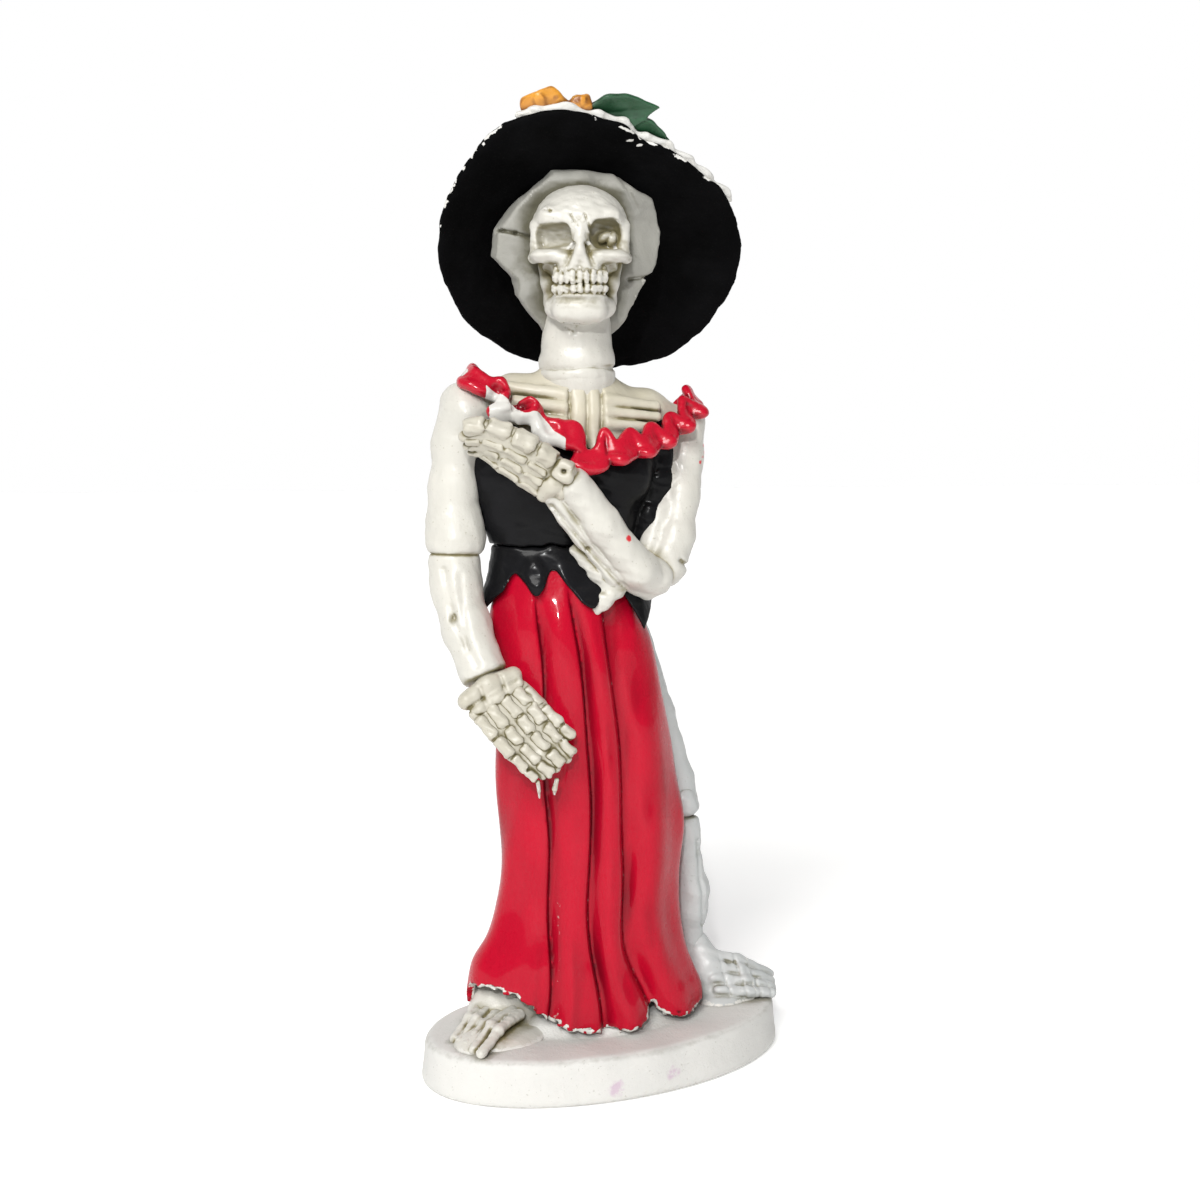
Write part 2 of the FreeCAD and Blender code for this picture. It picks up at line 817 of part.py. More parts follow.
def make_flowers(hat):
    """Two orange blooms, their eyes and a spray of leaves, glued to the top of the brim."""
    petals, eyes, leaves = [], [], []
    for bloom, scale in (("bloom_large", 1.0), ("bloom_small", 0.6)):
        middle = hat_place(*point(bloom))
        eye = primitive("Sphere", f"{bloom}_eye", middle, Radius=f"{scale} * {dims('flower_eye_radius')}")
        eyes.append(eye)
        for number in range(int(size("petal_count"))):
            bearing = 360.0 * number / size("petal_count") + 54
            turn = Placement(Vector(), Rotation(UP, bearing))
            reach = Placement(Vector(size("petal_reach") * scale, 0, 0), Rotation(Vector(0, 1, 0), -12))
            petal = primitive(
                "Cylinder",
                f"{bloom}_petal_{number}",
                middle.multiply(turn).multiply(reach),
                Radius=f"{scale} * {dims('petal_radius')}",
                Height=f"{scale} * {dims('petal_thickness')}",
            )
            petals.append(petal)
    for name, bearing in (("leaf_front", -20.0), ("leaf_side", 12.0)):
        outline = primitive("Ellipse", f"{name}_outline")
        bind(outline, MajorRadius=dims("leaf_half_length"), MinorRadius=dims("leaf_half_width"))
        blade = doc.addObject("Part::Extrusion", f"{name}_blade")
        blade.Base = outline
        blade.DirMode = "Normal"
        blade.Solid = True
        bind(blade, LengthFwd=dims("leaf_thickness"))
        blade.Placement = hat_place(*point(name)).multiply(Placement(Vector(), Rotation(UP, bearing)))
        leaves.append(blade)
    eye_pair = node(gather("Compound", "flower_eyes", eyes), "flower_eyes")
    petal_mass = gather("Fuse", "petal_mass", petals)
    leaf_mass = gather("Fuse", "leaf_mass", leaves)
    keep_clear = (hat["brim"], hat["lace"])
    made = [node(cut("flower_petals", petal_mass, eye_pair, *keep_clear), "flower_petals")]
    made.append(node(cut("flower_leaves", leaf_mass, petal_mass, eye_pair, *keep_clear), "flower_leaves"))
    return made


# ---------------------------------------------------------------------------------------------
# Arms and hands
# ---------------------------------------------------------------------------------------------


def make_arm(side, armature, dressed):
    arm_wire = armature["arms"][0 if side == "right" else 1]
    upper = bone(f"{side}_upper_arm")
    lower = bone(f"{side}_forearm")
    return [
        node(cut(f"{side}_upper_arm", upper, arm_wire, dressed), f"{side}_upper_arm"),
        node(cut(f"{side}_forearm", lower, upper, arm_wire, dressed), f"{side}_forearm"),
    ]


FINGERS = ("index", "middle", "ring", "little")
PHALANGES = (0.31, 0.27, 0.22, 0.16)


def make_hand(side, toward_index, forearm_tool, keep_clear):
    """Carpal block, palm, four fingers of four bones each, and a thumb."""
    root, tip = point(f"hand_{side}"), point(f"tips_{side}")
    along = (tip - root).normalize()
    across = (toward_index - along * toward_index.dot(along)).normalize()
    outward = along.cross(across) * (1 if along.cross(across).y < 0 else -1)
    frame = Rotation(across, along, outward, "ZXY")
    length = (tip - root).Length
    gap = size("joint_gap")
    block_place = Placement(root - along * 1.0, frame)
    carpals = ellipsoid(
        f"raw_{side}_carpals",
        block_place,
        dims("carpal_half_width"),
        dims("carpal_half_height"),
        dims("carpal_half_depth"),
    )
    fingers = []
    for number, finger in enumerate(FINGERS):
        offset = across * size("finger_pitch") * (1.5 - number)
        reach = length * (0.93, 1.0, 0.95, 0.82)[number]
        start, bones = 0.14, []
        for piece, share in enumerate(PHALANGES):
            base = root + offset + along * (start * length + gap)
            bones.append(
                primitive(
                    "Cone",
                    f"{side}_{finger}_bone_{piece}",
                    aim(base, along),
                    Radius1=f"{dims('finger_radius')} - {0.12 * piece:.2f}",
                    Radius2=f"{dims('finger_radius')} - {0.12 * piece + 0.25:.2f}",
                    Height=f"{share * reach * 0.9:.3f} - {dims('joint_gap')}",
                )
            )
            start += share * reach * 0.9 / length
        fingers.append((finger, gather("Compound", f"raw_{side}_{finger}", bones)))
    thumb_root = root + across * size("finger_pitch") * 2.3 + along * 2.0 + outward * 2.0
    thumb = primitive(
        "Cone",
        f"raw_{side}_thumb",
        aim(thumb_root, along + across * 0.25),
        Radius1=dims("finger_radius"),
        Radius2=dims("fingertip_radius"),
        Height=dims("thumb_length"),
    )
    palm_middle = root + along * length * 0.3 - outward * (size("finger_radius") + size("palm_thickness") / 2)
    palm = block(
        f"raw_{side}_palm",
        Placement(palm_middle, frame),
        f"3.4 * {dims('finger_pitch')}",
        f"{length * 0.42:.3f}",
        dims("palm_thickness"),
    )
    made = [node(cut(f"{side}_carpals", carpals, forearm_tool, *keep_clear), f"{side}_carpals")]
    for finger, bones in fingers:
        made.append(
            node(cut(f"{side}_{finger}_finger", bones, carpals, *keep_clear), f"{side}_{finger}_finger")
        )
    made.append(node(cut(f"{side}_palm", palm, carpals, forearm_tool, *keep_clear), f"{side}_palm"))
    made.append(node(cut(f"{side}_thumb", thumb, carpals, *keep_clear), f"{side}_thumb"))
    return made


# ---------------------------------------------------------------------------------------------
# Assembly, checks and export
# ---------------------------------------------------------------------------------------------


def build():
    fill_sheet()
    armature = make_armature()
    core = loft("core_mass", CORE)
    plinth = make_plinth(armature["legs"])
    feet = []
    feet += make_foot("right", 228.0, 19.5, 9.0, 9.5, armature["legs"][1])
    feet += make_foot("left", -18.0, 15.5, 6.8, 13.0, armature["legs"][0])
    legs = make_legs(armature)
    make_torso(armature, core)
    pelvis = make_pelvis(armature)
    skirt = make_skirt(feet, legs, core, pelvis)
    bodice = make_bodice(core)
    make_peplum(doc.getObject("skirt_outer"))
    tube = make_ruffle()
    make_ribs(core)
    dressed = doc.getObject("bodice_outer")
    node(cut("ruffle_collar", tube, dressed), "ruffle_collar")
    neck_parts = make_neck(armature, core)
    head = make_head(armature, doc.getObject("raw_neck"))
    hood = make_hood([doc.getObject("skull_mass"), doc.getObject("raw_neck"), doc.getObject("jaw_shape")])
    hat = make_hat()
    node(cut("hair_hood_seat", hood, hat["brim"], hat["crown"]), "hair_hood")
    make_flowers(hat)
    for side in ("right", "left"):
        make_arm(side, armature, dressed)
    make_hand(
        "right", Vector(0.9, 0.1, 0.4), doc.getObject("raw_right_forearm"), (doc.getObject("skirt_outer"),)
    )
    make_hand(
        "left",
        Vector(0.35, -0.2, 0.9),
        doc.getObject("raw_left_forearm"),
        (dressed, doc.getObject("raw_right_upper_arm"), doc.getObject("ruffle_tube")),
    )
    doc.recompute()
    return plinth, neck_parts, head


def is_sound(shape):
    return not shape.isNull() and shape.isValid() and bool(shape.Solids) and shape.Volume > 0


def check():
    """Stops on any failed object, and on any sub-part that isn't a valid closed solid."""
    failed = [o.Name for o in doc.Objects if "Invalid" in o.State or "Error" in o.State]
    if failed:
        raise RuntimeError(f"failed objects: {failed}")
    broken = [o.Label for o in nodes if not is_sound(o.Shape)]
    if broken:
        raise RuntimeError(f"not valid solids: {broken}")


def export():
    os.makedirs("parts", exist_ok=True)
    for obj in nodes:
        obj.Shape.exportStep(os.path.join("parts", f"{obj.Label}.step"))
        bounds = obj.Shape.BoundBox
        print(
            f"{obj.Label:22s} solids {len(obj.Shape.Solids):2d}  volume {obj.Shape.Volume:9.1f}  "
            f"x {bounds.XMin:6.1f} {bounds.XMax:6.1f}  y {bounds.YMin:6.1f} {bounds.YMax:6.1f}  "
            f"z {bounds.ZMin:6.1f} {bounds.ZMax:6.1f}"
        )
    print(len(nodes), "sub-parts")


build()
check()
export()
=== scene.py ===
"""Looks of the papier-mache catrina figure.

Each piece is sculpted as a distance field in the figure's own frame (millimetres, +Z up, the figure
faces -Y), meshed on a fine grid, and stands for the node or nodes it replaces.
"""

import math

import bpy
import numpy as np
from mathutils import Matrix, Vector


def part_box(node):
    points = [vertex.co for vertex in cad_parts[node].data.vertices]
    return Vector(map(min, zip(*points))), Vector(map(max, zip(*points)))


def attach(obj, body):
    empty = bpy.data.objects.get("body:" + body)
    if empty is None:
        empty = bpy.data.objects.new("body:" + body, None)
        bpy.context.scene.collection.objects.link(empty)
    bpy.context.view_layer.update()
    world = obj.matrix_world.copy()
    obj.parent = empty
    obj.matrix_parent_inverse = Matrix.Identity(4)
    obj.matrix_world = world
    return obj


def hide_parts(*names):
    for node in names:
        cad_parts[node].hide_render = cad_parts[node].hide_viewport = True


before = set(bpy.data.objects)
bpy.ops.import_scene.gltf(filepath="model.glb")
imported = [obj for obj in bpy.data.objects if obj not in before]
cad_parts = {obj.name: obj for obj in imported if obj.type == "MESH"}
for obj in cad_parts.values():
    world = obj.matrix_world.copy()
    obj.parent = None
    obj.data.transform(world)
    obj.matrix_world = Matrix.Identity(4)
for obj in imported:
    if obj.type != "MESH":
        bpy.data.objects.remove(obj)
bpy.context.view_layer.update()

MM = 0.001
FINE = 1.25
BLOCK = 8
CHUNK = 300000


# ---- Distance fields.  p is an array of points, one per row. ----


def length(v):
    return np.sqrt((v * v).sum(1))


def unit(v):
    v = np.array(v, float)
    return v / np.linalg.norm(v)


def axes(along, toward):
    """Rows: the unit vector along, the part of toward square to it, and their cross product."""
    a = unit(along)
    t = np.array(toward, float)
    b = unit(t - a * (t @ a))
    return np.array([a, b, np.cross(a, b)])


def turn_z(degrees):
    a = math.radians(degrees)
    return np.array([[math.cos(a), math.sin(a), 0], [-math.sin(a), math.cos(a), 0], [0, 0, 1.0]])


def local(p, c, turn):
    q = p - np.array(c, np.float32)
    return q if turn is None else q @ np.asarray(turn, np.float32).T


def ball(p, c, r):
    return length(p - np.array(c, np.float32)) - r


def egg(p, c, radii, turn=None):
    q = local(p, c, turn) / np.array(radii, np.float32)
    k0 = length(q)
    k1 = length(q / np.array(radii, np.float32))
    return k0 * (k0 - 1) / np.maximum(k1, 1e-6)


def bar(p, a, b, ra, rb=None):
    """A rod from a to b, whose radius may change from ra to rb."""
    a = np.array(a, np.float32)
    ab = np.array(b, np.float32) - a
    q = p - a
    t = np.clip(q @ ab / (ab @ ab), 0, 1)
    r = ra if rb is None else ra + (rb - ra) * t
    return length(q - t[:, None] * ab) - r


def brick(p, c, half, r, turn=None):
    q = np.abs(local(p, c, turn)) - (np.array(half, np.float32) - r)
    return length(np.maximum(q, 0)) + np.minimum(q.max(1), 0) - r


def hoop(p, c, big, small, turn=None):
    q = local(p, c, turn)
    return np.hypot(np.hypot(q[:, 0], q[:, 1]) - big, q[:, 2]) - small


def join(a, b, k=0.6):
    h = np.clip(0.5 + 0.5 * (b - a) / k, 0, 1)
    return b + (a - b) * h - k * h * (1 - h)


def carve(a, b, k=0.5):
    return -join(-a, b, k)


def both(a, b, k=0.4):
    return -join(-a, -b, k)


def union(*fields):
    """The field of several shapes at once."""
    return lambda p: np.minimum.reduce([field(p) for field in fields])


def chain(p, stops, k=1.0):
    """A limb through (x, y, z, radius) stops."""
    d = None
    for one, two in zip(stops, stops[1:]):
        piece = bar(p, one[:3], two[:3], one[3], two[3])
        d = piece if d is None else join(d, piece, k)
    return d


def score(d, p, a, b, facing, depth, width):
    """A line from a to b scored into whatever surface looks towards facing."""
    a, b = np.array(a, np.float32), np.array(b, np.float32)
    across = unit(np.cross(b - a, facing)).astype(np.float32)
    q = p - a
    t = q @ (b - a) / ((b - a) @ (b - a))
    past = np.maximum(np.maximum(-t, t - 1), 0) * np.linalg.norm(b - a)
    near = np.exp(-((q @ across / width) ** 2) - (past / width) ** 2)
    return d + depth * near * ramp(q @ unit(facing).astype(np.float32), -5.0, -2.5)


def waves(seed, size, count=7):
    """A smooth random field of about unit strength."""
    rng = np.random.RandomState(seed)
    directions = rng.normal(size=(count, 3))
    directions /= np.linalg.norm(directions, axis=1)[:, None]
    directions *= 2 * math.pi / size * rng.uniform(0.6, 1.5, (count, 1))
    phases = rng.uniform(0, 2 * math.pi, count)
    strength = math.sqrt(2.0 / count)

    def value(p):
        out = np.zeros(len(p), np.float32)
        for k, phase in zip(directions, phases):
            out += np.sin(p @ k.astype(np.float32) + np.float32(phase))
        return out * strength

    return value


LUMPS = waves(3, 14.0)
CRUMBS = waves(5, 3.2)
RIPPLE = waves(8, 6.0)


def handmade(p, amount=0.12):
    """The small unevenness of hand-pressed paper."""
    return amount * (LUMPS(p) + 0.45 * RIPPLE(p) + 0.25 * CRUMBS(p))


def ramp(x, low, high):
    t = np.clip((x - low) / (high - low), 0, 1)
    return t * t * (3 - 2 * t)


def along_z(z, *stops):
    """Smooth value at height z through (height, value) stops."""
    zs = np.array([s[0] for s in stops], float)
    vs = np.array([s[1] for s in stops], float)
    order = np.argsort(zs)
    zs, vs = zs[order], vs[order]
    slope = np.gradient(vs, zs)
    i = np.clip(np.searchsorted(zs, z) - 1, 0, len(zs) - 2)
    h = zs[i + 1] - zs[i]
    t = np.clip((z - zs[i]) / h, 0, 1)
    a = (2 * t**3 - 3 * t**2 + 1) * vs[i] + (t**3 - 2 * t**2 + t) * h * slope[i]
    return a + (-2 * t**3 + 3 * t**2) * vs[i + 1] + (t**3 - t**2) * h * slope[i + 1]


# ---- From a field to a mesh ----


def in_chunks(field, p):
    out = np.empty(len(p), np.float32)
    for i in range(0, len(p), CHUNK):
        out[i : i + CHUNK] = field(p[i : i + CHUNK])
    return out


def survey(field, low, high, step):
    """The field on a grid, worked out in full only near the surface."""
    low = np.array(low, float) - 2 * step
    blocks = np.ceil((np.array(high, float) + 2 * step - low) / step / BLOCK).astype(int)
    which = np.stack(np.meshgrid(*[np.arange(n) for n in blocks], indexing="ij"), -1).reshape(-1, 3)
    middles = (low + (which * BLOCK + (BLOCK - 1) / 2) * step).astype(np.float32)
    rough = in_chunks(field, middles)
    grid = np.empty((*blocks, BLOCK, BLOCK, BLOCK), np.float32)
    grid[tuple(which.T)] = np.where(rough < 0, -9.0, 9.0)[:, None, None, None]
    near = which[np.abs(rough) < BLOCK * step * 1.25]
    cell = np.stack(np.meshgrid(*[np.arange(BLOCK)] * 3, indexing="ij"), -1).reshape(-1, 3)
    for i in range(0, len(near), CHUNK // BLOCK**3):
        some = near[i : i + CHUNK // BLOCK**3]
        p = (low + (some[:, None] * BLOCK + cell[None]) * step).astype(np.float32)
        grid[tuple(some.T)] = field(p.reshape(-1, 3)).reshape(-1, BLOCK, BLOCK, BLOCK)
    full = grid.transpose(0, 3, 1, 4, 2, 5).reshape(*(blocks * BLOCK))
    for axis in range(3):
        edge = [slice(None)] * 3
        for side in (0, -1):
            edge[axis] = side
            full[tuple(edge)] = np.maximum(full[tuple(edge)], 0.01)
    return full, low


CORNERS = np.array([(i, j, k) for i in (0, 1) for j in (0, 1) for k in (0, 1)])


def net(grid):
    """Surface nets: one vertex in each crossed cell, and a quad across each crossed edge."""
    inside = grid < 0
    n = np.array(grid.shape) - 1
    total = np.zeros(n, np.uint8)
    for i, j, k in CORNERS:
        total += inside[i : n[0] + i, j : n[1] + j, k : n[2] + k]
    active = (total > 0) & (total < 8)
    cells = np.argwhere(active)
    index = np.full(active.shape, -1, np.int32)
    index[tuple(cells.T)] = np.arange(len(cells))
    total_at = np.zeros((len(cells), 3))
    hits = np.zeros(len(cells))
    for a in CORNERS:
        for axis in range(3):
            if a[axis]:
                continue
            b = a.copy()
            b[axis] = 1
            va = grid[tuple((cells + a).T)]
            vb = grid[tuple((cells + b).T)]
            crossed = (va < 0) != (vb < 0)
            t = va[crossed] / (va[crossed] - vb[crossed])
            spot = np.tile(a.astype(float), (len(t), 1))
            spot[:, axis] += t
            total_at[crossed] += spot
            hits[crossed] += 1
    spots = cells + total_at / hits[:, None]
    quads = []
    for axis in range(3):
        one, two = (axis + 1) % 3, (axis + 2) % 3
        start = [slice(1, -1)] * 3
        start[axis] = slice(0, -1)
        end = list(start)
        end[axis] = slice(1, None)
        here, there = inside[tuple(start)], inside[tuple(end)]
        origin = np.array([0 if a == axis else 1 for a in range(3)])
        for flip in (False, True):
            edges = np.argwhere((here & ~there) if flip else (~here & there)) + origin
            ring = []
            for d1, d2 in ((-1, -1), (0, -1), (0, 0), (-1, 0)):
                c = edges.copy()
                c[:, one] += d1
                c[:, two] += d2
                ring.append(index[tuple(c.T)])
            if not flip:
                ring.reverse()
            quads.append(np.stack(ring, 1))
    return spots, np.concatenate(quads)


def slope_of(field, p, h=0.05):
    g = np.empty_like(p)
    for axis in range(3):
        d = np.zeros(3, np.float32)
        d[axis] = h
        g[:, axis] = (in_chunks(field, p + d) - in_chunks(field, p - d)) / (2 * h)
    return g


def make_mesh(name, verts, quads, values):
    mesh = bpy.data.meshes.new(name)
    mesh.vertices.add(len(verts))
    mesh.vertices.foreach_set("co", (verts * MM).astype(np.float32).ravel())
    mesh.loops.add(quads.size)
    mesh.loops.foreach_set("vertex_index", quads.astype(np.int32).ravel())
    mesh.polygons.add(len(quads))
    mesh.polygons.foreach_set("loop_start", np.arange(0, quads.size, 4, dtype=np.int32))
    mesh.update(calc_edges=True)
    mesh.validate()
    mesh.shade_smooth()
    for key, value in values.items():
        attribute = mesh.attributes.new(key, "FLOAT", "POINT")
        attribute.data.foreach_set("value", value.astype(np.float32))
    return mesh


def show(name, mesh, paint, nodes):
    obj = bpy.data.objects.new(name, mesh)
    bpy.context.scene.collection.objects.link(obj)
    mesh.materials.append(PAINTS[paint])
    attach(obj, "root")
    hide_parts(*nodes)
    return obj


def sculpt(name, field, low, high, step, paint, nodes, around=None, bare=None, stain=None,
           reach=1.1):
    """Meshes a field, and stores how deep each point lies in a groove and how far out on an edge."""
    step = step * FINE
    grid, base = survey(field, low, high, step)
    spots, quads = net(grid)
    p = (base + spots * step).astype(np.float32)
    for _ in range(2):
        g = slope_of(field, p)
        size = np.maximum((g * g).sum(1), 0.2)
        move = g * (in_chunks(field, p) / size)[:, None]
        limit = 0.6 * step / np.maximum(length(move), 1e-6)
        p = p - move * np.minimum(limit, 1)[:, None]
    g = slope_of(field, p)
    n = g / np.maximum(length(g), 1e-6)[:, None]
    everything = around or field
    deep = 1 - in_chunks(everything, p + n * reach) / reach
    wide = 1 - in_chunks(everything, p + n * reach * 2.6) / (reach * 2.6)
    out = 1 + in_chunks(field, p - n * reach) / reach
    values = {
        # The groove and hollow measures say how enclosed each point is; the paints darken by them as
        # painted shade.
        "groove": np.clip(0.65 * deep + 0.5 * wide, 0, 1),
        "hollow": np.clip(1 - in_chunks(everything, p + n * 6) / 6, 0, 1),
        "rim": np.clip(out, 0, 1),
        "bare": np.zeros(len(p)) if bare is None else np.clip(bare(p), 0, 1),
        "stain": np.zeros(len(p)) if stain is None else np.clip(stain(p), 0, 1),
    }
    return show(name, make_mesh(name, p, quads, values), paint, nodes)


# ---- Paints ----

PAINTS = {}


class Nodes:
    """A short way to wire shader nodes."""

    def __init__(self, name):
        self.material = bpy.data.materials.new(name)
        self.material.use_nodes = True
        self.tree = self.material.node_tree
        self.shader = self.tree.nodes["Principled BSDF"]
        self.place = self.add("ShaderNodeMapping")
        self.place.inputs["Scale"].default_value = (1000, 1000, 1000)
        self.link(self.add("ShaderNodeTexCoord").outputs["Object"], self.place.inputs["Vector"])

    def add(self, kind, **settings):
        made = self.tree.nodes.new(kind)
        for key, value in settings.items():
            setattr(made, key, value)
        return made

    def link(self, source, target):
        self.tree.links.new(source, target)

    def stretched(self, scale):
        made = self.add("ShaderNodeMapping")
        made.inputs["Scale"].default_value = scale
        self.link(self.place.outputs[0], made.inputs["Vector"])
        return made.outputs[0]

    def noise(self, size, detail=3.0, rough=0.55, where=None):
        """Noise whose patches are about size millimetres across."""
        made = self.add("ShaderNodeTexNoise")
        made.inputs["Scale"].default_value = 1.0 / size
        made.inputs["Detail"].default_value = detail
        made.inputs["Roughness"].default_value = rough
        self.link(where or self.place.outputs[0], made.inputs["Vector"])
        return made.outputs["Fac"]

    def mesh_value(self, name):
        return self.add("ShaderNodeAttribute", attribute_name=name).outputs["Fac"]

    def fit(self, source, low, high, to_low=0.0, to_high=1.0):
        made = self.add("ShaderNodeMapRange")
        self.link(source, made.inputs["Value"])
        for key, value in zip(("From Min", "From Max", "To Min", "To Max"), (low, high, to_low, to_high)):
            made.inputs[key].default_value = value
        return made.outputs[0]

    def math(self, operation, a, b):
        made = self.add("ShaderNodeMath", operation=operation)
        for i, value in enumerate((a, b)):
            if isinstance(value, (int, float)):
                made.inputs[i].default_value = value
            else:
                self.link(value, made.inputs[i])
        return made.outputs[0]

    def blend(self, factor, a, b):
        made = self.add("ShaderNodeMix", data_type="RGBA")
        self.link(factor, made.inputs["Factor"])
        for i, value in ((6, a), (7, b)):
            if isinstance(value, (tuple, list)):
                made.inputs[i].default_value = (*value, 1)
            else:
                self.link(value, made.inputs[i])
        return made.outputs[2]


def paint(name, base, patch, shade_and_dirt, chip, rough=0.5, shine=0.0, groove_shade_and_dirt_at=(0.25, 0.8), chip_at=(0.62, 0.8),
          grain=0.25, strokes=None, stain=(0.6, 0.02, 0.03), patch_share=0.6, chip_size=2.2, hollow=0.35,
          pits=0.0, uneven=0.16,
          coat_rough=0.16, glance=0.5):
    """Brushed paint on paper: patches, painted shade and dirt in the grooves, painted shade in the hollows,
    chips on the edges and a rough skin.
    """
    n = Nodes(name)
    wide = n.noise(17.0, 3.0)
    small = n.noise(2.6, 4.0, 0.6)
    tiny = n.noise(0.7, 2.0)
    colour = n.blend(n.fit(wide, 0.38, 0.68, 0.0, patch_share), base, patch)
    if strokes:
        along = n.noise(2.0, 3.0, 0.6, n.stretched(strokes))
        colour = n.blend(n.fit(along, 0.45, 0.75, 0.0, patch_share), colour, patch)
    # Painted shade: the colour darkens where the surface lies deep in a hollow.
    shade = n.math("ADD", n.mesh_value("hollow"), n.fit(wide, 0.3, 0.7, -0.7 * uneven, 0.7 * uneven))
    colour = n.blend(n.math("MULTIPLY", n.fit(shade, 0.15, 0.8), hollow), colour, shade_and_dirt)
    pores = n.fit(n.noise(0.8, 1.0, 0.4), 0.725, 0.75)
    colour = n.blend(n.math("MULTIPLY", pores, pits), colour, shade_and_dirt)
    # Painted shade, with some antiquing: the colour darkens along the grooves.
    lines = n.math("ADD", n.mesh_value("groove"), n.fit(small, 0.3, 0.7, -uneven, uneven))
    colour = n.blend(n.fit(lines, *groove_shade_and_dirt_at), colour, shade_and_dirt)
    worn = n.math("ADD", n.mesh_value("rim"), n.fit(n.noise(chip_size, 4.0, 0.65), 0.35, 0.65, -0.42, 0.42))
    worn = n.fit(worn, *chip_at)
    torn = n.fit(n.math("ADD", n.mesh_value("bare"), n.fit(small, 0.3, 0.7, -0.2, 0.2)), 0.45, 0.55)
    worn = n.math("MAXIMUM", worn, torn)
    colour = n.blend(worn, colour, chip)
    spots = n.fit(n.math("MULTIPLY", n.mesh_value("stain"), n.fit(small, 0.35, 0.65, 0.45, 1.7)), 0.35, 0.9)
    colour = n.blend(spots, colour, stain)
    n.link(colour, n.shader.inputs["Base Color"])
    shiny = n.fit(small, 0.3, 0.7, rough - 0.07, rough + 0.1)
    n.link(n.math("MAXIMUM", shiny, n.fit(worn, 0, 1, 0, 0.7)), n.shader.inputs["Roughness"])
    n.shader.inputs["Coat Weight"].default_value = shine
    n.shader.inputs["Specular IOR Level"].default_value = glance
    n.shader.inputs["Coat Roughness"].default_value = coat_rough
    height = n.math("ADD", n.math("MULTIPLY", small, 0.7), n.math("MULTIPLY", tiny, 0.3))
    if strokes:
        height = n.math("ADD", height, n.math("MULTIPLY", along, 0.5))
    height = n.math("SUBTRACT", height, n.math("MULTIPLY", worn, 0.35))
    bump = n.add("ShaderNodeBump")
    bump.inputs["Strength"].default_value = 1.0
    bump.inputs["Distance"].default_value = grain * MM
    n.link(height, bump.inputs["Height"])
    n.link(bump.outputs[0], n.shader.inputs["Normal"])
    PAINTS[name] = n.material


BONE = (0.575, 0.56, 0.51)
# The olive of the bone's painted shade and antiquing in its grooves and hollows.
OLIVE = (0.20, 0.175, 0.09)
PAPER = (0.62, 0.61, 0.575)
paint("bone", BONE, (0.52, 0.51, 0.465), OLIVE, PAPER, 0.4, 0.12, strokes=(0.9, 0.9, 0.25), grain=0.22,
      hollow=0.85, pits=0.35)
# A darker, cooler copy of the bone paint: painted shade for the left leg and foot, which stand in the
# skirt's shadow.
paint("bone_in_painted_shade", (0.47, 0.485, 0.48), (0.41, 0.43, 0.43), (0.20, 0.195, 0.15), PAPER, 0.45, 0.08,
      grain=0.22,
      hollow=0.6, pits=0.3)
paint("hand", (0.45, 0.425, 0.35), (0.52, 0.50, 0.44), (0.15, 0.13, 0.06), PAPER, 0.42, 0.1, grain=0.22,
      groove_shade_and_dirt_at=(0.2, 0.72), hollow=0.95, pits=0.25)
paint("chest", (0.52, 0.485, 0.38), (0.55, 0.525, 0.46), (0.22, 0.19, 0.10), PAPER, 0.45, 0.1, grain=0.2,
      groove_shade_and_dirt_at=(0.3, 0.95), hollow=0.45)
paint("plinth", (0.60, 0.595, 0.57), (0.55, 0.55, 0.53), (0.27, 0.26, 0.215), PAPER, 0.6, 0.0,
      groove_shade_and_dirt_at=(0.2, 1.0), grain=0.4, stain=(0.52, 0.42, 0.49), hollow=0.4, pits=0.4)
paint("red", (0.43, 0.0025, 0.019), (0.365, 0.002, 0.016), (0.12, 0.001, 0.006), PAPER, 0.3, 0.3,
      groove_shade_and_dirt_at=(0.12, 0.75), chip_at=(1.38, 1.5), strokes=(0.6, 0.6, 0.08), grain=0.22, hollow=0.5,
      uneven=0.03,
      coat_rough=0.06, glance=0.06)
paint("frill", (0.46, 0.004, 0.021), (0.39, 0.003, 0.017), (0.15, 0.001, 0.006), PAPER, 0.27, 0.4,
      groove_shade_and_dirt_at=(0.2, 0.8), chip_at=(1.38, 1.5), grain=0.14, hollow=0.5, uneven=0.05, coat_rough=0.08,
      glance=0.2)
paint("black", (0.0050, 0.0050, 0.0055), (0.010, 0.010, 0.012), (0.003, 0.003, 0.003), (0.62, 0.61, 0.58),
      0.42,
      0.14, chip_at=(1.38, 1.5), grain=0.25, glance=0.05)
paint("hat", (0.0016, 0.0016, 0.0017), (0.0045, 0.0045, 0.005), (0.001, 0.001, 0.001), (0.66, 0.65, 0.62),
      0.6,
      0.0, chip_at=(1.15, 1.25), grain=0.25, chip_size=3.0, glance=0.02)
paint("band", (0.50, 0.008, 0.025), (0.40, 0.006, 0.02), (0.14, 0.002, 0.008), PAPER, 0.32, 0.3, grain=0.2,
      chip_at=(1.38, 1.5))
paint("lace", (0.62, 0.615, 0.59), (0.56, 0.555, 0.53), (0.42, 0.40, 0.35), PAPER, 0.5, 0.1, grain=0.2)
paint("hair", (0.29, 0.285, 0.255), (0.225, 0.225, 0.205), (0.09, 0.085, 0.055), (0.46, 0.455, 0.41), 0.6,
      0.0,
      grain=0.35, hollow=0.8)
paint("petal", (0.62, 0.27, 0.025), (0.50, 0.15, 0.012), (0.18, 0.055, 0.006), (0.66, 0.38, 0.06), 0.42,
      0.2,
      grain=0.2, groove_shade_and_dirt_at=(0.2, 0.75), hollow=0.7, chip_at=(1.0, 1.2))
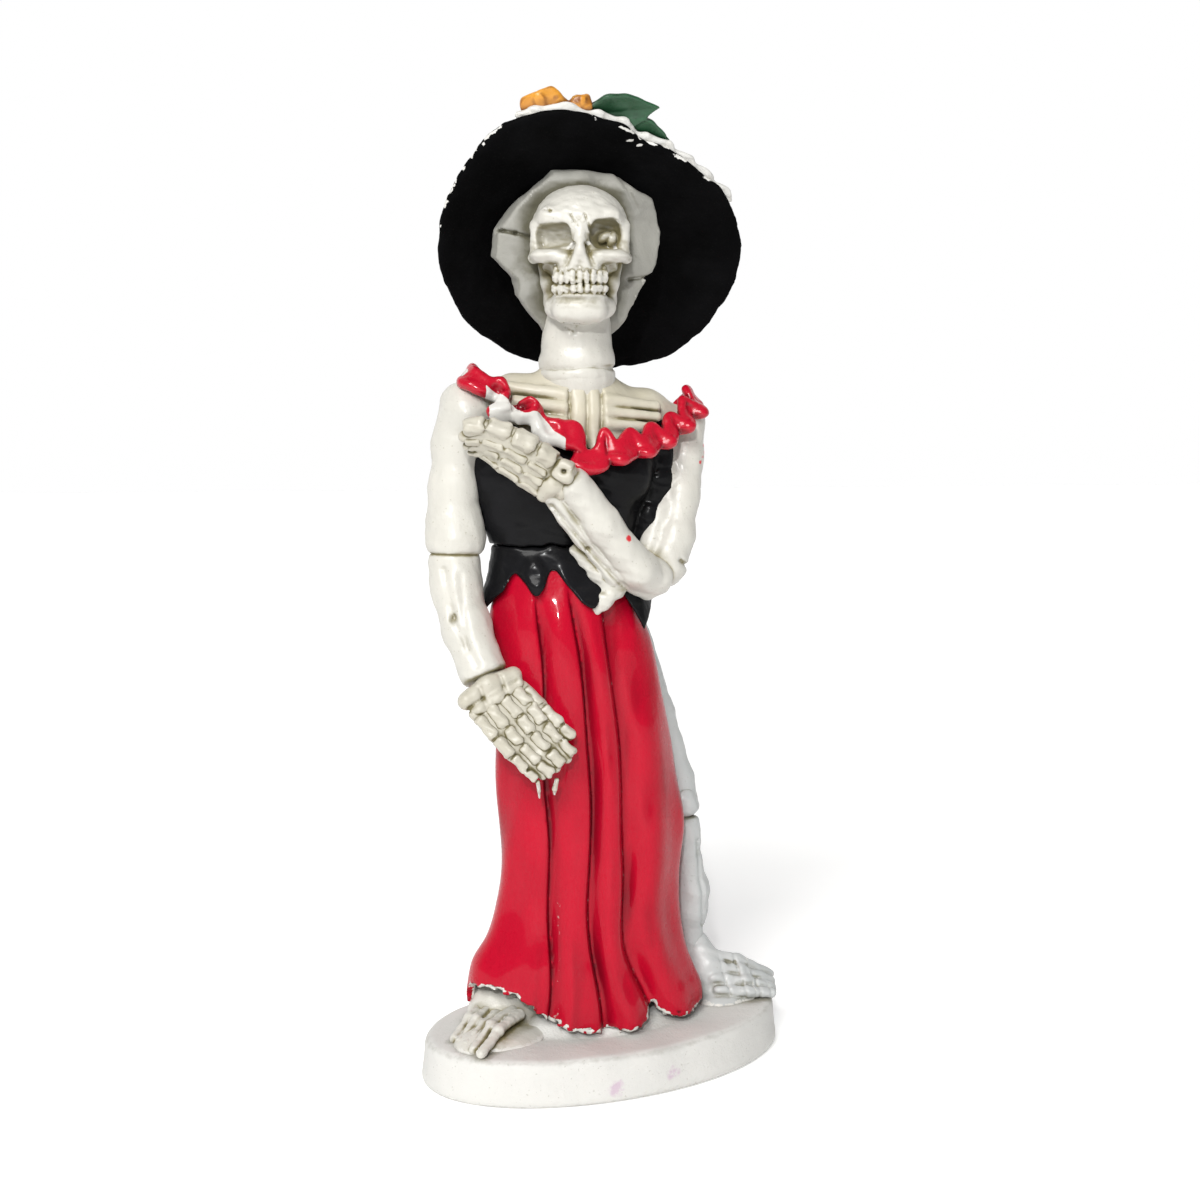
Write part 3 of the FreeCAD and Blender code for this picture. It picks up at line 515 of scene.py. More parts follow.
paint("eye", (0.66, 0.38, 0.04), (0.62, 0.26, 0.025), (0.3, 0.11, 0.01), (0.7, 0.44, 0.1), 0.42, 0.2,
      grain=0.2,
      chip_at=(1.38, 1.5))
paint("leaf", (0.014, 0.085, 0.032), (0.010, 0.06, 0.022), (0.003, 0.018, 0.007), (0.04, 0.14, 0.055),
      0.45, 0.12,
      grain=0.2, chip_at=(1.0, 1.2))

# ---- Plinth, feet and the leg beside the skirt ----

PLINTH_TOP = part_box("plinth")[1].z / MM
PLINTH_TURN = turn_z(13.0)


def plinth(p):
    q = local(p, (0, 0, PLINTH_TOP / 2), PLINTH_TURN)
    rho = np.hypot(q[:, 0] / 63.6, q[:, 1] / 37.6)
    flat = np.hypot(q[:, 0], q[:, 1])
    bulge = 0.9 * ramp(-q[:, 2], -6, 7)
    side = flat * (1 - 1 / np.maximum(rho, 1e-3)) - bulge + 0.5
    d = both(side, np.abs(q[:, 2]) - PLINTH_TOP / 2, 3.4)
    under_hem = egg(p, (-8.0, -1.0, 14.0), (36.5, 19.5, 6.0)) + 0.3 * LUMPS(p)
    d = join(d, under_hem, 1.5)
    return d + 0.16 * LUMPS(0.6 * p) * ramp(p[:, 2], 0.5, 4)


def plinth_stain(p):
    d = np.minimum(ball(p, (-6, -38, 5), 2.0), ball(p, (14, -35.5, 6.5), 1.6))
    return 0.75 - ramp(d, -1, 4)


def toes_right(p):
    d = None
    for number in range(5):
        share = number / 4
        wave = 0.5 * math.sin(number * 2.3)
        root = np.array([-39.5 + 8.0 * share, 1.5 - 12.5 * share, 21.0 + wave * 0.6])
        tip = np.array([-53.0 + 6.0 * share, -14.0 - 14.5 * share + 3.5 * share * (1 - share), 16.2])
        knee_at = root * 0.45 + tip * 0.55 + np.array([0, 0, 1.6 + wave])
        toe = chain(p, [(*root, 2.0), (*(root * 0.75 + tip * 0.25 + (0, 0, 1.1)), 1.6), (*knee_at, 1.8),
                        (*(root * 0.2 + tip * 0.8 + (0, 0, 0.6)), 1.4), (*tip, 1.7)], 0.9)
        d = toe if d is None else join(d, toe, 0.9)
    return d + 0.1 * CRUMBS(p)


def foot_right(p):
    mass = egg(p, (-41.0, -11.0, 14.2), (17.0, 10.4, 5.6), axes((-0.60, -0.80, 0), (0.80, -0.60, 0)))
    side = egg(p, (-31, -15, 13.0), (15, 8.0, 4.6), axes((0.7, 0.7, 0), (0.7, -0.7, 0)))
    heel = bar(p, (-33, -2, 17), (-26, 3, 25), 8.0, 8.0)
    d = join(join(mass, side, 3), heel, 3)
    d = join(d, egg(p, (-37.5, 1.5, 17), (8.6, 10, 11)), 3)
    return both(d + handmade(p), PLINTH_TOP - 0.3 - p[:, 2], 0.3)


def foot_right_all(p):
    return np.minimum(foot_right(p), toes_right(p))


def rays_left(p):
    """The long bones of the left foot, one over the other on its near side."""
    d = None
    for number in range(4):
        start = np.array([37.5 + number, 8.5 - 2.6 * number, 30.5 - 3.9 * number])
        end = np.array([62.2 - 0.9 * number, 9.5 - 3.1 * number, 20.0 - 1.1 * number])
        middle = (start + end) / 2 + np.array([0, -0.6, 1.2 - 0.3 * number])
        piece = chain(p, [(*start, 1.9), (*middle, 2.1), (*end, 1.7)], 1.0)
        d = piece if d is None else join(d, piece, 0.9)
    for x, lean in ((44.5, 2.0), (50.0, 1.6), (55.5, 1.2), (59.6, 0.8)):
        d = score(d, p, (x, -4, 17), (x - lean, 6, 30), (0.2, -0.8, 0.6), 0.45, 0.5)
    return d + 0.1 * CRUMBS(p)


def toes_left(p):
    d = join(rays_left(p), egg(p, (55.5, 8.0, 15.0), (8.5, 6.5, 7.0)), 1.0)
    return both(both(d, 52.6 - p[:, 0], 0.3), PLINTH_TOP - 0.3 - p[:, 2], 0.3)


def foot_left(p):
    d = egg(p, (46.0, 8.5, 15.0), (15.5, 8.5, 9.0), axes((0.97, -0.22, 0), (0.22, 0.97, 0)))
    d = join(d, egg(p, (42.0, 3.0, 13.5), (10, 8.0, 4.6)), 2.5)
    ankle = chain(p, [(36.2, 12.5, 32, 4.6), (38.5, 11, 24, 7.0), (43, 9.5, 18, 8.0)], 3)
    d = join(join(d, ankle, 3), rays_left(p), 0.8)
    d = both(d, p[:, 0] - 53.2, 0.3)
    return both(d + handmade(p), PLINTH_TOP - 0.3 - p[:, 2], 0.3)


def foot_left_all(p):
    return np.minimum(foot_left(p), toes_left(p))


def thigh(p):
    d = chain(p, [(10.5, 9.5, 146, 6.0), (20.5, 11, 116, 6.0), (28.5, 12.5, 92, 5.6), (30.2, 13, 84, 6.0)],
              2)
    return d + handmade(p)


def knee(p):
    d = egg(p, (31.0, 12.4, 81.8), (5.4, 6.2, 3.6))
    d = join(d, egg(p, (30.2, 9.0, 84.0), (4.2, 4.0, 5.0)), 2)
    return d + handmade(p)


def shin(p):
    d = chain(p, [(31.4, 13, 74.2, 6.0), (32.0, 13, 62, 5.6), (33.6, 13.5, 52, 6.9), (33.6, 13.5, 45, 6.4),
                  (33.4, 13, 35, 4.2), (34.0, 13, 30, 4.4)], 2)
    d = both(d, p[:, 2] - 78.2, 1.2)
    return score(d, p, (35.0, 8.0, 70), (37.0, 8.0, 40), (0.2, -1, 0), 0.8, 0.9) + handmade(p, 0.2)


def leg_all(p):
    return np.minimum(np.minimum(thigh(p), knee(p)), np.minimum(shin(p), foot_left(p)))


def build_legs():
    sculpt("plinth_block", plinth, (-67, -42, -1), (67, 42, 22), 0.8, "plinth", ["plinth"],
           around=union(plinth, foot_right_all, foot_left_all),
           stain=plinth_stain, reach=2.0)
    sculpt("right_foot_bones", foot_right, (-56, -36, 13), (-12, 10, 33), 0.45, "bone",
           ["right_foot"], foot_right_all)
    sculpt("right_toe_bones", toes_right, (-58, -36, 13), (-24, 6, 26), 0.35, "bone",
           ["right_toes"], foot_right_all)
    # The left foot and leg take the darker, cooler bone paint as painted shade.
    sculpt("left_foot_bones", foot_left, (26, -6, 13), (66, 24, 40), 0.45, "bone_in_painted_shade",
           ["left_foot"], foot_left_all)
    sculpt("left_toe_bones", toes_left, (40, -6, 13), (67, 24, 30), 0.35, "bone_in_painted_shade",
           ["left_toes"], foot_left_all)
    sculpt("left_thigh_bone", thigh, (0, 0, 76), (40, 22, 154), 0.6, "bone_in_painted_shade",
           ["left_thigh"],
           leg_all)
    sculpt("left_knee_cap", knee, (22, 2, 74), (40, 22, 92), 0.4, "bone_in_painted_shade", ["left_knee"],
           leg_all)
    sculpt("left_shin_bone", shin, (22, 2, 24), (44, 24, 82), 0.5, "bone_in_painted_shade", ["left_shin"],
           leg_all)


# ---- Torso and dress ----


def barrel(p, cx, cy, half_x, half_y):
    """An upright oval column whose middle and half sizes may change with height."""
    x, y = p[:, 0] - cx, p[:, 1] - cy
    rho = np.hypot(x / half_x, y / half_y)
    return np.hypot(x, y) * (1 - 1 / np.maximum(rho, 1e-3))


def torso_form(p, grow=0.0):
    z = p[:, 2]
    cx = along_z(z, (146, -12.5), (160, -12.8), (174, -13.6), (186, -13.6), (197, -13.2), (208, -11.0),
                 (226, -9))
    half = along_z(z, (146, 21), (160, 21.5), (174, 23.0), (186, 27.0), (197, 30.8), (208, 31.5), (226, 24))
    deep = along_z(z, (146, 13), (160, 13), (174, 12.6), (186, 14.2), (197, 15.2), (208, 13.6), (226, 9))
    return barrel(p, cx, 0.5, half + grow, deep + grow)


def shoulders(p):
    d = chain(p, [(-43, 1, 217.5, 6.0), (-30, 0.5, 220.6, 7.0), (-9, 0, 219, 8.5), (14, 1.5, 216.0, 7.0),
                  (26, 2, 212.5, 5.5)], 4)
    upper = egg(p, (-9.5, 0.5, 209), (31, 13.2, 15.5))
    neck_root = bar(p, (-9.5, -1, 216), (-9.8, -1.6, 228), 13.0, 9.6)
    return join(join(d, upper, 6), neck_root, 10)


def chest(p):
    d = join(both(torso_form(p), p[:, 2] - 212, 6), shoulders(p), 5)
    bones = None
    for a, b, r in (
        ((-11.6, -11.6, 219.5), (-12.0, -14.6, 203), 2.0),
        ((-6.2, -11.6, 219.0), (-7.2, -14.6, 203), 1.8),
        ((-33.5, -6.0, 223.6), (-15.5, -11.6, 221.0), 2.1),
        ((-31.5, -10.0, 219.0), (-15.8, -13.0, 217.0), 1.9),
        ((-30.0, -12.0, 214.0), (-15.8, -14.0, 212.4), 1.8),
        ((-3.2, -12.0, 219.6), (14.5, -8.2, 217.6), 2.0),
        ((-2.8, -13.0, 215.8), (14.5, -10.2, 214.4), 1.7),
        ((-2.6, -13.8, 212.0), (13.5, -11.4, 210.8), 1.7),
    ):
        piece = bar(p, a, b, r)
        bones = piece if bones is None else np.minimum(bones, piece)
    d = join(d + 0.4, bones, 1.2)
    for x in (-14.6, -9.0, -4.3):
        d = score(d, p, (x, -13, 222), (x - 0.6, -13, 204), (0, -1, 0), 1.1, 0.8)
    return d + handmade(p, 0.08)




def bodice(p):
    d = torso_form(p, 1.8)
    bust = join(egg(p, (-24.5, -10.5, 196.5), (10.5, 7.5, 10)), egg(p, (1.5, -10.5, 196.5), (11, 7.5, 10)),
                3)
    d = join(d, bust, 5)
    d = score(d, p, (-34, -10, 183), (-20, -14, 180), (0, -1, 0), 0.5, 2.2)
    d = d + 0.25 * LUMPS(p) + 0.06 * CRUMBS(p)
    d = both(d, p[:, 2] - 204.5 - 0.014 * (p[:, 0] + 9) ** 2, 0.8)
    return both(d, 173.9 + 0.25 * RIPPLE(p) - p[:, 2], 0.8)


def bodice_web(p):
    """Torn scraps of the bodice reaching towards the left arm."""
    scraps = chain(p,
                   [(17.5, -3.5, 203, 4.6), (16.8, -3.5, 194, 5.0), (13.2, -4.5, 182, 4.6),
                    (10.5, -5, 176.5, 3.6)], 3)
    for x, y, z, r in ((21.4, -5.4, 196.5, 1.6), (19.6, -6.8, 187.5, 1.2), (18.6, -6.6, 185.6, 1.0)):
        scraps = join(scraps, ball(p, (x, y, z), r), 0.8)
    return both(scraps + 0.12 * CRUMBS(p), 174.2 - p[:, 2], 0.8)


SKIRT_TOP = 169.0


def skirt_middle(z):
    cx = along_z(z, (15, -6.6), (24, -6.8), (30, -7.8), (36, -8.3), (45, -7.0), (52, -6.3), (60, -5.4),
                 (80, -4.6),
                 (100, -6.2), (120, -8.6), (140, -11.5), (152, -13.4), (162, -13.2), (170, -13.4))
    half = along_z(z, (15, 41.4), (24, 40.6), (30, 38.6), (36, 36.6), (45, 33.2), (52, 31.4), (60, 30.3),
                   (80, 30.7), (100, 29.9), (120, 28.6), (140, 26.8), (152, 25.0), (162, 23.6), (170, 22.4))
    deep = along_z(z, (15, 22.0), (24, 21.6), (35, 20.6), (60, 19.6), (100, 19.0), (120, 18.6), (140, 17.8),
                   (152, 16.6), (162, 15.0), (170, 13.0))
    return cx, half, deep


FRONT_FOLDS = (
    ((162, -25.4), (128, -23.6), (98, -22.6), (74, -21.8), (41, -21.6), (14, -23.5)),
    ((162, -15.4), (149, -14.0), (115, -9.4), (77, -8.7), (40, -8.6), (21, -5.4), (14, -4.5)),
    ((162, -5.4), (145, -2.6), (114, 0.8), (89, 2.4), (73, 2.8), (43, 3.0), (23, 11.6), (14, 14.0)),
)
FOLD_SIZES = ((2.6, 1.5), (3.2, 1.7), (3.6, 2.1))
BACK_FOLDS = (
    ((162, -26), (110, -25), (60, -24), (14, -30)),
    ((162, -14), (110, -11), (60, -9), (14, -12)),
    ((162, -3), (110, 2), (60, 6), (14, 8)),
)
SIDE_FOLDS = ((1, 5.5), (-1, 7.0))


def fold_depth(p, cx):
    """How far the cloth is pushed in by its folds, and a little out between them."""
    x, y, z = p[:, 0], p[:, 1], p[:, 2]
    push = np.zeros(len(p), np.float32)
    grow = ramp(166 - z, 0, 20) * 0.85 + ramp(140 - z, 0, 110) * 0.45
    front = ramp(-y, -3, 5)
    back = 1 - ramp(-y, -5, 3)
    for stops, (depth, width) in zip(FRONT_FOLDS, FOLD_SIZES):
        wander = 0.5 * np.sin(z * 0.12 + depth * 9)
        off = (x - wander - along_z(z, *stops)) / (width * (0.8 + 0.5 * grow))
        off = off / np.where(off < 0, 0.5, 1.45)
        push += front * grow * depth * np.exp(-(off**2))
    xs = [along_z(z, *stops) for stops in FRONT_FOLDS]
    for left, right in zip(xs, xs[1:]):
        off = (x - (left + right) / 2) / (0.40 * (right - left))
        push -= front * 2.0 * grow * np.exp(-(off**2))
    for stops in BACK_FOLDS:
        off = (x - along_z(z, *stops)) / 3.4
        push += back * grow * 2.6 * np.exp(-(off**2))
    off = (x - (xs[2] + 10)) / 4.6
    push -= front * 1.2 * grow * np.exp(-(off**2))
    off = (x - (xs[0] - 6)) / 3.6
    push -= front * 1.4 * grow * np.exp(-(off**2))
    side = np.sign(x - cx)
    for which, level in SIDE_FOLDS:
        off = (y - level) / 2.8
        push += (side == which) * ramp(np.abs(x - cx), 8, 20) * 1.5 * grow * np.exp(-(off**2))
    return push


def hem_height(p):
    x, y = p[:, 0], p[:, 1]
    front = along_z(x, (-50, 32), (-45.5, 29.6), (-41, 30.6), (-35, 29.6), (-30.5, 27.4), (-25.6, 23.0),
                    (-17.5, 18.8), (-4, 17.2), (6.0, 17.4), (9.6, 19.6), (12.4, 23.4), (15.0, 20.0),
                    (20, 18.2),
                    (26, 17.8), (30.5, 18.6), (34, 22), (36.5, 27))
    back = 17.0 + 0.5 * np.sin(x * 0.5)
    share = ramp(-y, -8, 2)
    return back + (front - back) * share + 0.5 * CRUMBS(1.3 * p)


def skirt_outer(p):
    cx, half, deep = skirt_middle(p[:, 2])
    rise = ramp(-p[:, 0], 28, 46) * ramp(45 - p[:, 2], 0, 18)
    d = barrel(p, cx, 0.5, half, deep + 1.5 * rise)
    return (d + fold_depth(p, cx)) * 0.82


def skirt(p):
    d = skirt_outer(p) + 0.36 * LUMPS(p * np.array([1, 1, 0.3], np.float32))
    d = both(d, -(d + 2.6), 0.5)
    d = both(d, hem_height(p) - p[:, 2], 0.5)
    d = both(d, p[:, 2] - SKIRT_TOP, 0.5)
    slit = egg(p, (30.5, 14.0, 78), (9.5, 9.5, 62))
    return carve(d, slit - 1.0, 0.8)


def skirt_bare(p):
    above = p[:, 2] - hem_height(p)
    front = ramp(-p[:, 1], -6, 4)
    inner = ramp(skirt_outer(p), -1.9, -2.2)
    edge = (1 - ramp(above, 0.5, 1.4)) * ramp(LUMPS(1.6 * p), -0.9, 0.3)
    notch = 1 - ramp(ball(p, (12.5, -19, 20), 3.0), 0, 1.5)
    patch = 1 - ramp(ball(p, (-43, -9, 29), 2.0), 0, 1.2)
    return np.maximum(np.maximum(edge * front, inner), np.maximum(notch, patch) * (above < 2.5))


def peplum_edge(p):
    """Height of the flaps' ragged lower edge: points and notches round the hip."""
    x, y = p[:, 0], p[:, 1]
    front = along_z(x, (-44, 160), (-38.5, 157.5), (-36, 158.8), (-31.5, 164.8), (-29.6, 162.6),
                    (-26.4, 158.0),
                    (-23.6, 160.4), (-21.0, 165.8), (-16, 161.0), (-11.0, 155.2), (-8.0, 154.2),
                    (-4, 160.5),
                    (1, 164), (8, 158), (14, 150))
    angle = np.arctan2(y, x + 13)
    back = 157.5 + 4.6 * np.sin(angle * 5 + 1.0)
    corner = 146.5 + np.abs(x - 9.6) * 1.7
    share = ramp(-y, 1, 9)
    edge = back + (front - back) * share
    return np.where((x > 3) & (y > -16) & (y < 12), np.maximum(np.minimum(corner, 162), 146), edge)


def peplum(p):
    z = p[:, 2]
    flare = along_z(z, (146, 5.4), (154, 4.4), (160, 3.0), (168, 1.6), (176, 0.6))
    cx = along_z(z, (146, -12.0), (160, -13.0), (174, -13.6), (180, -13.6))
    half = along_z(z, (146, 24.6), (154, 24.6), (160, 23.8), (168, 23.2), (176, 23.4))
    deep = along_z(z, (146, 16.6), (154, 16.2), (160, 15.2), (168, 13.8), (176, 13.2))
    d = barrel(p, cx, 0.5, half + flare, deep + flare)
    drop = 1 - ramp(np.hypot((p[:, 0] + 26.4) / 4.6, (z - 164.5) / 7.0), 0.4, 1.0)
    sway = np.exp(-(((p[:, 0] + 31.0) / 2.6) ** 2)) + np.exp(-(((p[:, 0] + 21.0) / 2.6) ** 2))
    d = d - (1.5 * drop - 0.5 * sway * ramp(170 - z, 0, 8)) * (p[:, 1] < 0)
    d = d + 0.2 * LUMPS(p) + 0.05 * CRUMBS(p)
    d = both(d, -(d + 2.0), 0.5)
    d = both(d, z - 173.4 - 0.25 * RIPPLE(p), 1.2)
    return both(d, (peplum_edge(p) - z) * 0.75, 0.6)


def build_dress():
    sculpt("skirt_shell", skirt, (-51, -26, 13), (38, 27, 162), 0.62, "red", ["skirt"],
           bare=skirt_bare, reach=1.8)
    sculpt("chest_mass", chest, (-52, -18, 190), (34, 18, 233), 0.42, "chest",
           ["torso_core", "sternum", "right_clavicle", "left_clavicle", "right_ribs", "left_ribs"],
           reach=1.0)
    sculpt("bodice_shell", union(bodice, bodice_web), (-50, -22, 171), (26, 20, 212), 0.6,
           "black", ["bodice"])
    sculpt("peplum_flaps", peplum, (-46, -26, 143), (22, 26, 177), 0.5, "black", ["peplum"])


# ---- Frill ----

FRILL_LINE = (
    (-42.5, 3.0, 229.6), (-43.8, -5.5, 228.8), (-40.6, -9.5, 225.8), (-36.4, -10.0, 224.6),
    (-34.6, -13.5, 221.6),
    (-36.2, -14.8, 218.6), (-32.0, -14.5, 216.8), (-29.2, -16.0, 218.8), (-26.2, -16.8, 218.2),
    (-23.6, -17.0, 214.6), (-21.2, -17.6, 211.8), (-17.2, -18.0, 211.8), (-14.0, -18.4, 211.6),
    (-12.4, -18.6, 208.0), (-13.6, -20.2, 204.8), (-10.7, -21.0, 202.6), (-7.2, -20.6, 204.4),
    (-5.0, -18.6, 209.4), (-1.4, -20.6, 205.4), (3.4, -17.8, 209.4), (7.4, -18.4, 206.8),
    (11.4, -14.6, 211.4),
    (15.6, -14.4, 209.0), (18.6, -10.6, 214.8), (22.6, -10.6, 213.4), (24.4, -6.0, 219.6),
    (28.2, -5.2, 218.2),
    (27.2, -0.6, 223.2),
    (29.6, 3.5, 222.0), (27.8, 8.5, 219.6), (24.0, 9.5, 215.6), (19.5, 13.5, 216.8), (14.0, 13.2, 212.6),
    (8.5, 16.4, 213.4), (2.5, 15.4, 210.0), (-3.5, 17.6, 211.2), (-9.5, 16.0, 209.4), (-15.5, 17.6, 211.4),
    (-21.5, 15.4, 210.6), (-27.5, 16.0, 214.2), (-33.0, 12.4, 216.0), (-37.5, 12.0, 220.6),
    (-40.0, 8.0, 224.8),
)


def smooth_loop(points, per):
    """Points along a closed Catmull-Rom curve."""
    pts = np.array(points, float)
    out = []
    for i in range(len(pts)):
        a, b, c, d = pts[i - 1], pts[i], pts[(i + 1) % len(pts)], pts[(i + 2) % len(pts)]
        for s in range(per):
            t = s / per
            out.append(0.5 * (2 * b + (c - a) * t + (2 * a - 5 * b + 4 * c - d) * t**2
                              + (3 * b - a - 3 * c + d) * t**3))
    return np.array(out)


FRILL = smooth_loop(FRILL_LINE, 6)


def frill_edges():
    """Upper and lower edge of the ribbon: its waves grow towards the lower one."""
    shares = np.exp(-((np.arange(-20, 21) / 10.0) ** 2))
    calm = sum(np.roll(FRILL, -k, 0) * s for k, s in zip(range(-20, 21), shares)) / shares.sum()
    edges = []
    for top, mean in zip(FRILL, calm):
        outward = unit((mean - (-8.8, 0.5, 0)) * (1, 1, 0))
        front = max(0.0, -outward[1]) ** 1.5
        wave = (top - mean) * (1.75, 1.75, 0.3)
        edges.append((top, mean + wave + outward * (2.0 + 0.8 * front) - (0, 0, 3.0 + 3.2 * front)))
    return edges


FRILL_EDGES = frill_edges()


def frill(p):
    """A thick ribbon hanging from the wavy line: its upper edge is rolled, its lower edge thinner."""
    d = np.full(len(p), 50.0, np.float32)
    for (a, c), (b, e) in zip(FRILL_EDGES, FRILL_EDGES[1:] + FRILL_EDGES[:1]):
        near = np.abs(p - ((a + c) / 2).astype(np.float32)).max(1) < 10
        if not near.any():
            continue
        q = p[near]
        piece = join(bar(q, a, b, 1.35), bar(q, c, e, 1.75), 0.6)
        d[near] = np.minimum(d[near], join(piece, bar(q, (a + b) / 2, (c + e) / 2, 1.25, 1.6), 0.9))
    crumpled = ramp(p[:, 0], -44, -38) * ramp(-p[:, 0], 15, 20) * ramp(-p[:, 1], 4, 9)
    d = d + 0.55 * crumpled * LUMPS(1.9 * p)
    return d + 0.10 * RIPPLE(p) + 0.05 * CRUMBS(p)


def frill_bare(p):
    """Where the paint never reached: under the roll above the left hand, and chips at the shoulders."""
    x, y, z = p[:, 0], p[:, 1], p[:, 2]
    top = along_z(x, (-43, 226), (-40, 223), (-36, 220.5), (-31, 215.6), (-26, 215.6), (-21, 209.8),
                  (-17, 207))
    under = ramp(top - z, -0.3, 0.4) * (x > -41) * (x < -18) * (y < -6)
    chip = 1 - ramp(ball(p, (26.8, -9.0, 217.5), 1.7), -0.4, 0.4)
    shoulder = 1 - ramp(ball(p, (-46.5, -4, 226), 3.4), -0.6, 0.6)
    return np.maximum(np.maximum(under, chip), shoulder)


def build_frill():
    sculpt("frill_ribbon", frill, (-49, -26, 194), (34, 22, 234), 0.45, "frill",
           ["ruffle_collar"],
           bare=frill_bare, reach=1.4)


# ---- Neck and head ----

HEAD_TURN = turn_z(-13.5)
HEAD = np.array([-9.6, -6.0, 268.0])


def face(right, forward, up):
    """A point of the head: right of the face's middle, forward of and above the cranium's middle."""
    return HEAD + np.array([right, -forward, up]) @ HEAD_TURN


def in_face(p):
    """Points in the head's own axes: right, forward, up."""
    q = local(p, HEAD, HEAD_TURN)
    return q * np.array([1, -1, 1], np.float32)


def skull(p):
    q = in_face(p)
    m = q.copy()
    m[:, 0] = np.abs(q[:, 0])
    d = egg(m, (0, -3.0, 3.8), (15.6, 18.0, 15.0))
    d = join(d, egg(m, (0, 5.5, 6.5), (13.6, 11.6, 10.0)), 4)
    d = join(d, egg(m, (0, 5.5, -5.0), (11.6, 10.4, 11.0)), 3)
    d = join(d, egg(m, (0, -2.0, -8.6), (12.2, 10.5, 9.0)), 3)
    d = join(d, bar(m, (0, 15.4, 4.6), (9.6, 13.4, 7.2), 2.4), 3.0)
    d = join(d, bar(m, (9.6, 13.4, 7.2), (14.4, 6.5, 3.6), 2.1), 2.5)
    d = carve(d, egg(m, (17.2, 7.0, 2.0), (2.6, 5.5, 4.0)), 2.0)
    cheek = chain(m, [(1.5, 15.6, -6.2, 1.7), (6.5, 15.0, -5.4, 1.6), (11.6, 12.8, -5.0, 1.7),
                      (14.4, 6.8, -4.6, 1.5), (13.4, -1.0, -3.8, 1.2)], 1.5)
    d = join(d, cheek, 1.4)
    d = join(d, egg(m, (9.0, 12.6, -4.6), (6.4, 4.4, 1.9)), 1.6)
    d = join(d, brick(m, (0, 13.4, -7.0), (6.2, 3.6, 2.6), 1.8), 1.6)
    d = join(d, bar(m, (13.4, 9.5, -3.0), (13.4, 9.4, 4.4), 2.0), 1.5)
    left = brick(q, (-8.9, 17.4, 1.3), (5.7, 7.6, 3.5), 2.6, axes((1, 0.28, 0.08), (0.28, -1, 0)))
    right = brick(q, (8.7, 17.2, 2.0), (5.2, 8.2, 4.4), 3.6, axes((1, -0.28, 0.08), (-0.28, -1, 0)))
    d = carve(carve(d, left, 0.9), right, 0.9)
    d = carve(d, egg(m, (12.6, 11.0, -11.4), (6.0, 9.4, 4.9)), 0.5)
    bridge = bar(m, (0, 15.8, 4.2), (0, 18.4, -3.0), 1.4, 2.2)
    d = join(d, bridge, 2.2)
    d = join(d, bar(m, (0, 17.9, -4.0), (2.4, 16.2, -8.0), 1.9, 2.3), 2.0)
    for side in (-1, 1):
        d = score(d, q, (side * 1.4, 17, -1.6), (side * 3.8, 16, -7.6), (0, 1, 0), 0.8, 0.8)
    d = join(d, egg(m, (0, 9.4, -10.0), (8.6, 8.8, 4.4)), 1.8)
    d = join(d, egg(q, (7.4, 11.2, 1.2), (2.4, 1.7, 1.5), axes((1, 0.1, 0.7), (0, 1, 0))), 0.4)
    d = join(d, egg(q, (9.8, 10.6, 0.6), (1.5, 1.8, 2.6), axes((1, 0.1, -0.3), (0, 1, 0))), 0.4)
    for a, b, deep in (((-9.8, 14, 9.6), (-8.8, 15, 8.0), 0.4), ((-10.8, 14, 9.0), (-8.4, 15, 8.4), 0.35),
                       ((-2.6, 16, 7.0), (-0.6, 17, 3.6), 0.5), ((1.6, 16, 7.2), (3.0, 17, 3.0), 0.5),
                       ((-0.4, 16, 6.0), (1.6, 17, 4.6), 0.4), ((-1.6, 16, 5.0), (0.6, 17, 6.6), 0.35)):
        d = score(d, q, a, b, (0, 1, 0), deep, 0.4)
    d = both(d, -13.8 - q[:, 2], 0.8)
    return d + handmade(p, 0.06) + 0.05 * CRUMBS(1.4 * p)


def tooth_arch(q, level, tall, count, size, bite, seed):
    """A crooked row of teeth round the front of the mouth; level is the row's middle height."""
    rng = np.random.RandomState(seed)
    d = None
    for number in range(count):
        bearing = (number - (count - 1) / 2) * 0.222
        x = 9.4 * math.sin(bearing) + rng.uniform(-0.15, 0.15)
        y = 8.6 + 9.6 * math.cos(bearing) + bite + rng.uniform(-0.25, 0.25)
        z = level + rng.uniform(-0.3, 0.3) - 0.4 * (1 - math.cos(bearing * 2)) * bite
        turn = turn_z(math.degrees(bearing) + rng.uniform(-9, 9))
        wide = size * rng.uniform(0.88, 1.1)
        tooth = egg(q, (x, y, z), (wide, 1.5, tall * rng.uniform(0.9, 1.1)), turn)
        root = bar(q, (x * 0.97, y - 0.9, z + tall * (1.2 if bite > 0 else -1.0)), (x, y - 0.4, z), 0.85)
        tooth = join(tooth, root, 0.5)
        d = tooth if d is None else join(d, tooth, 0.35)
    return d


def upper_teeth(p):
    return tooth_arch(in_face(p), -11.4, 2.3, 9, 1.14, 0.2, 4) + 0.12 * CRUMBS(1.5 * p)


def lower_teeth(p):
    return tooth_arch(in_face(p), -14.9, 1.6, 9, 1.1, -0.6, 9) + 0.12 * CRUMBS(1.5 * p)


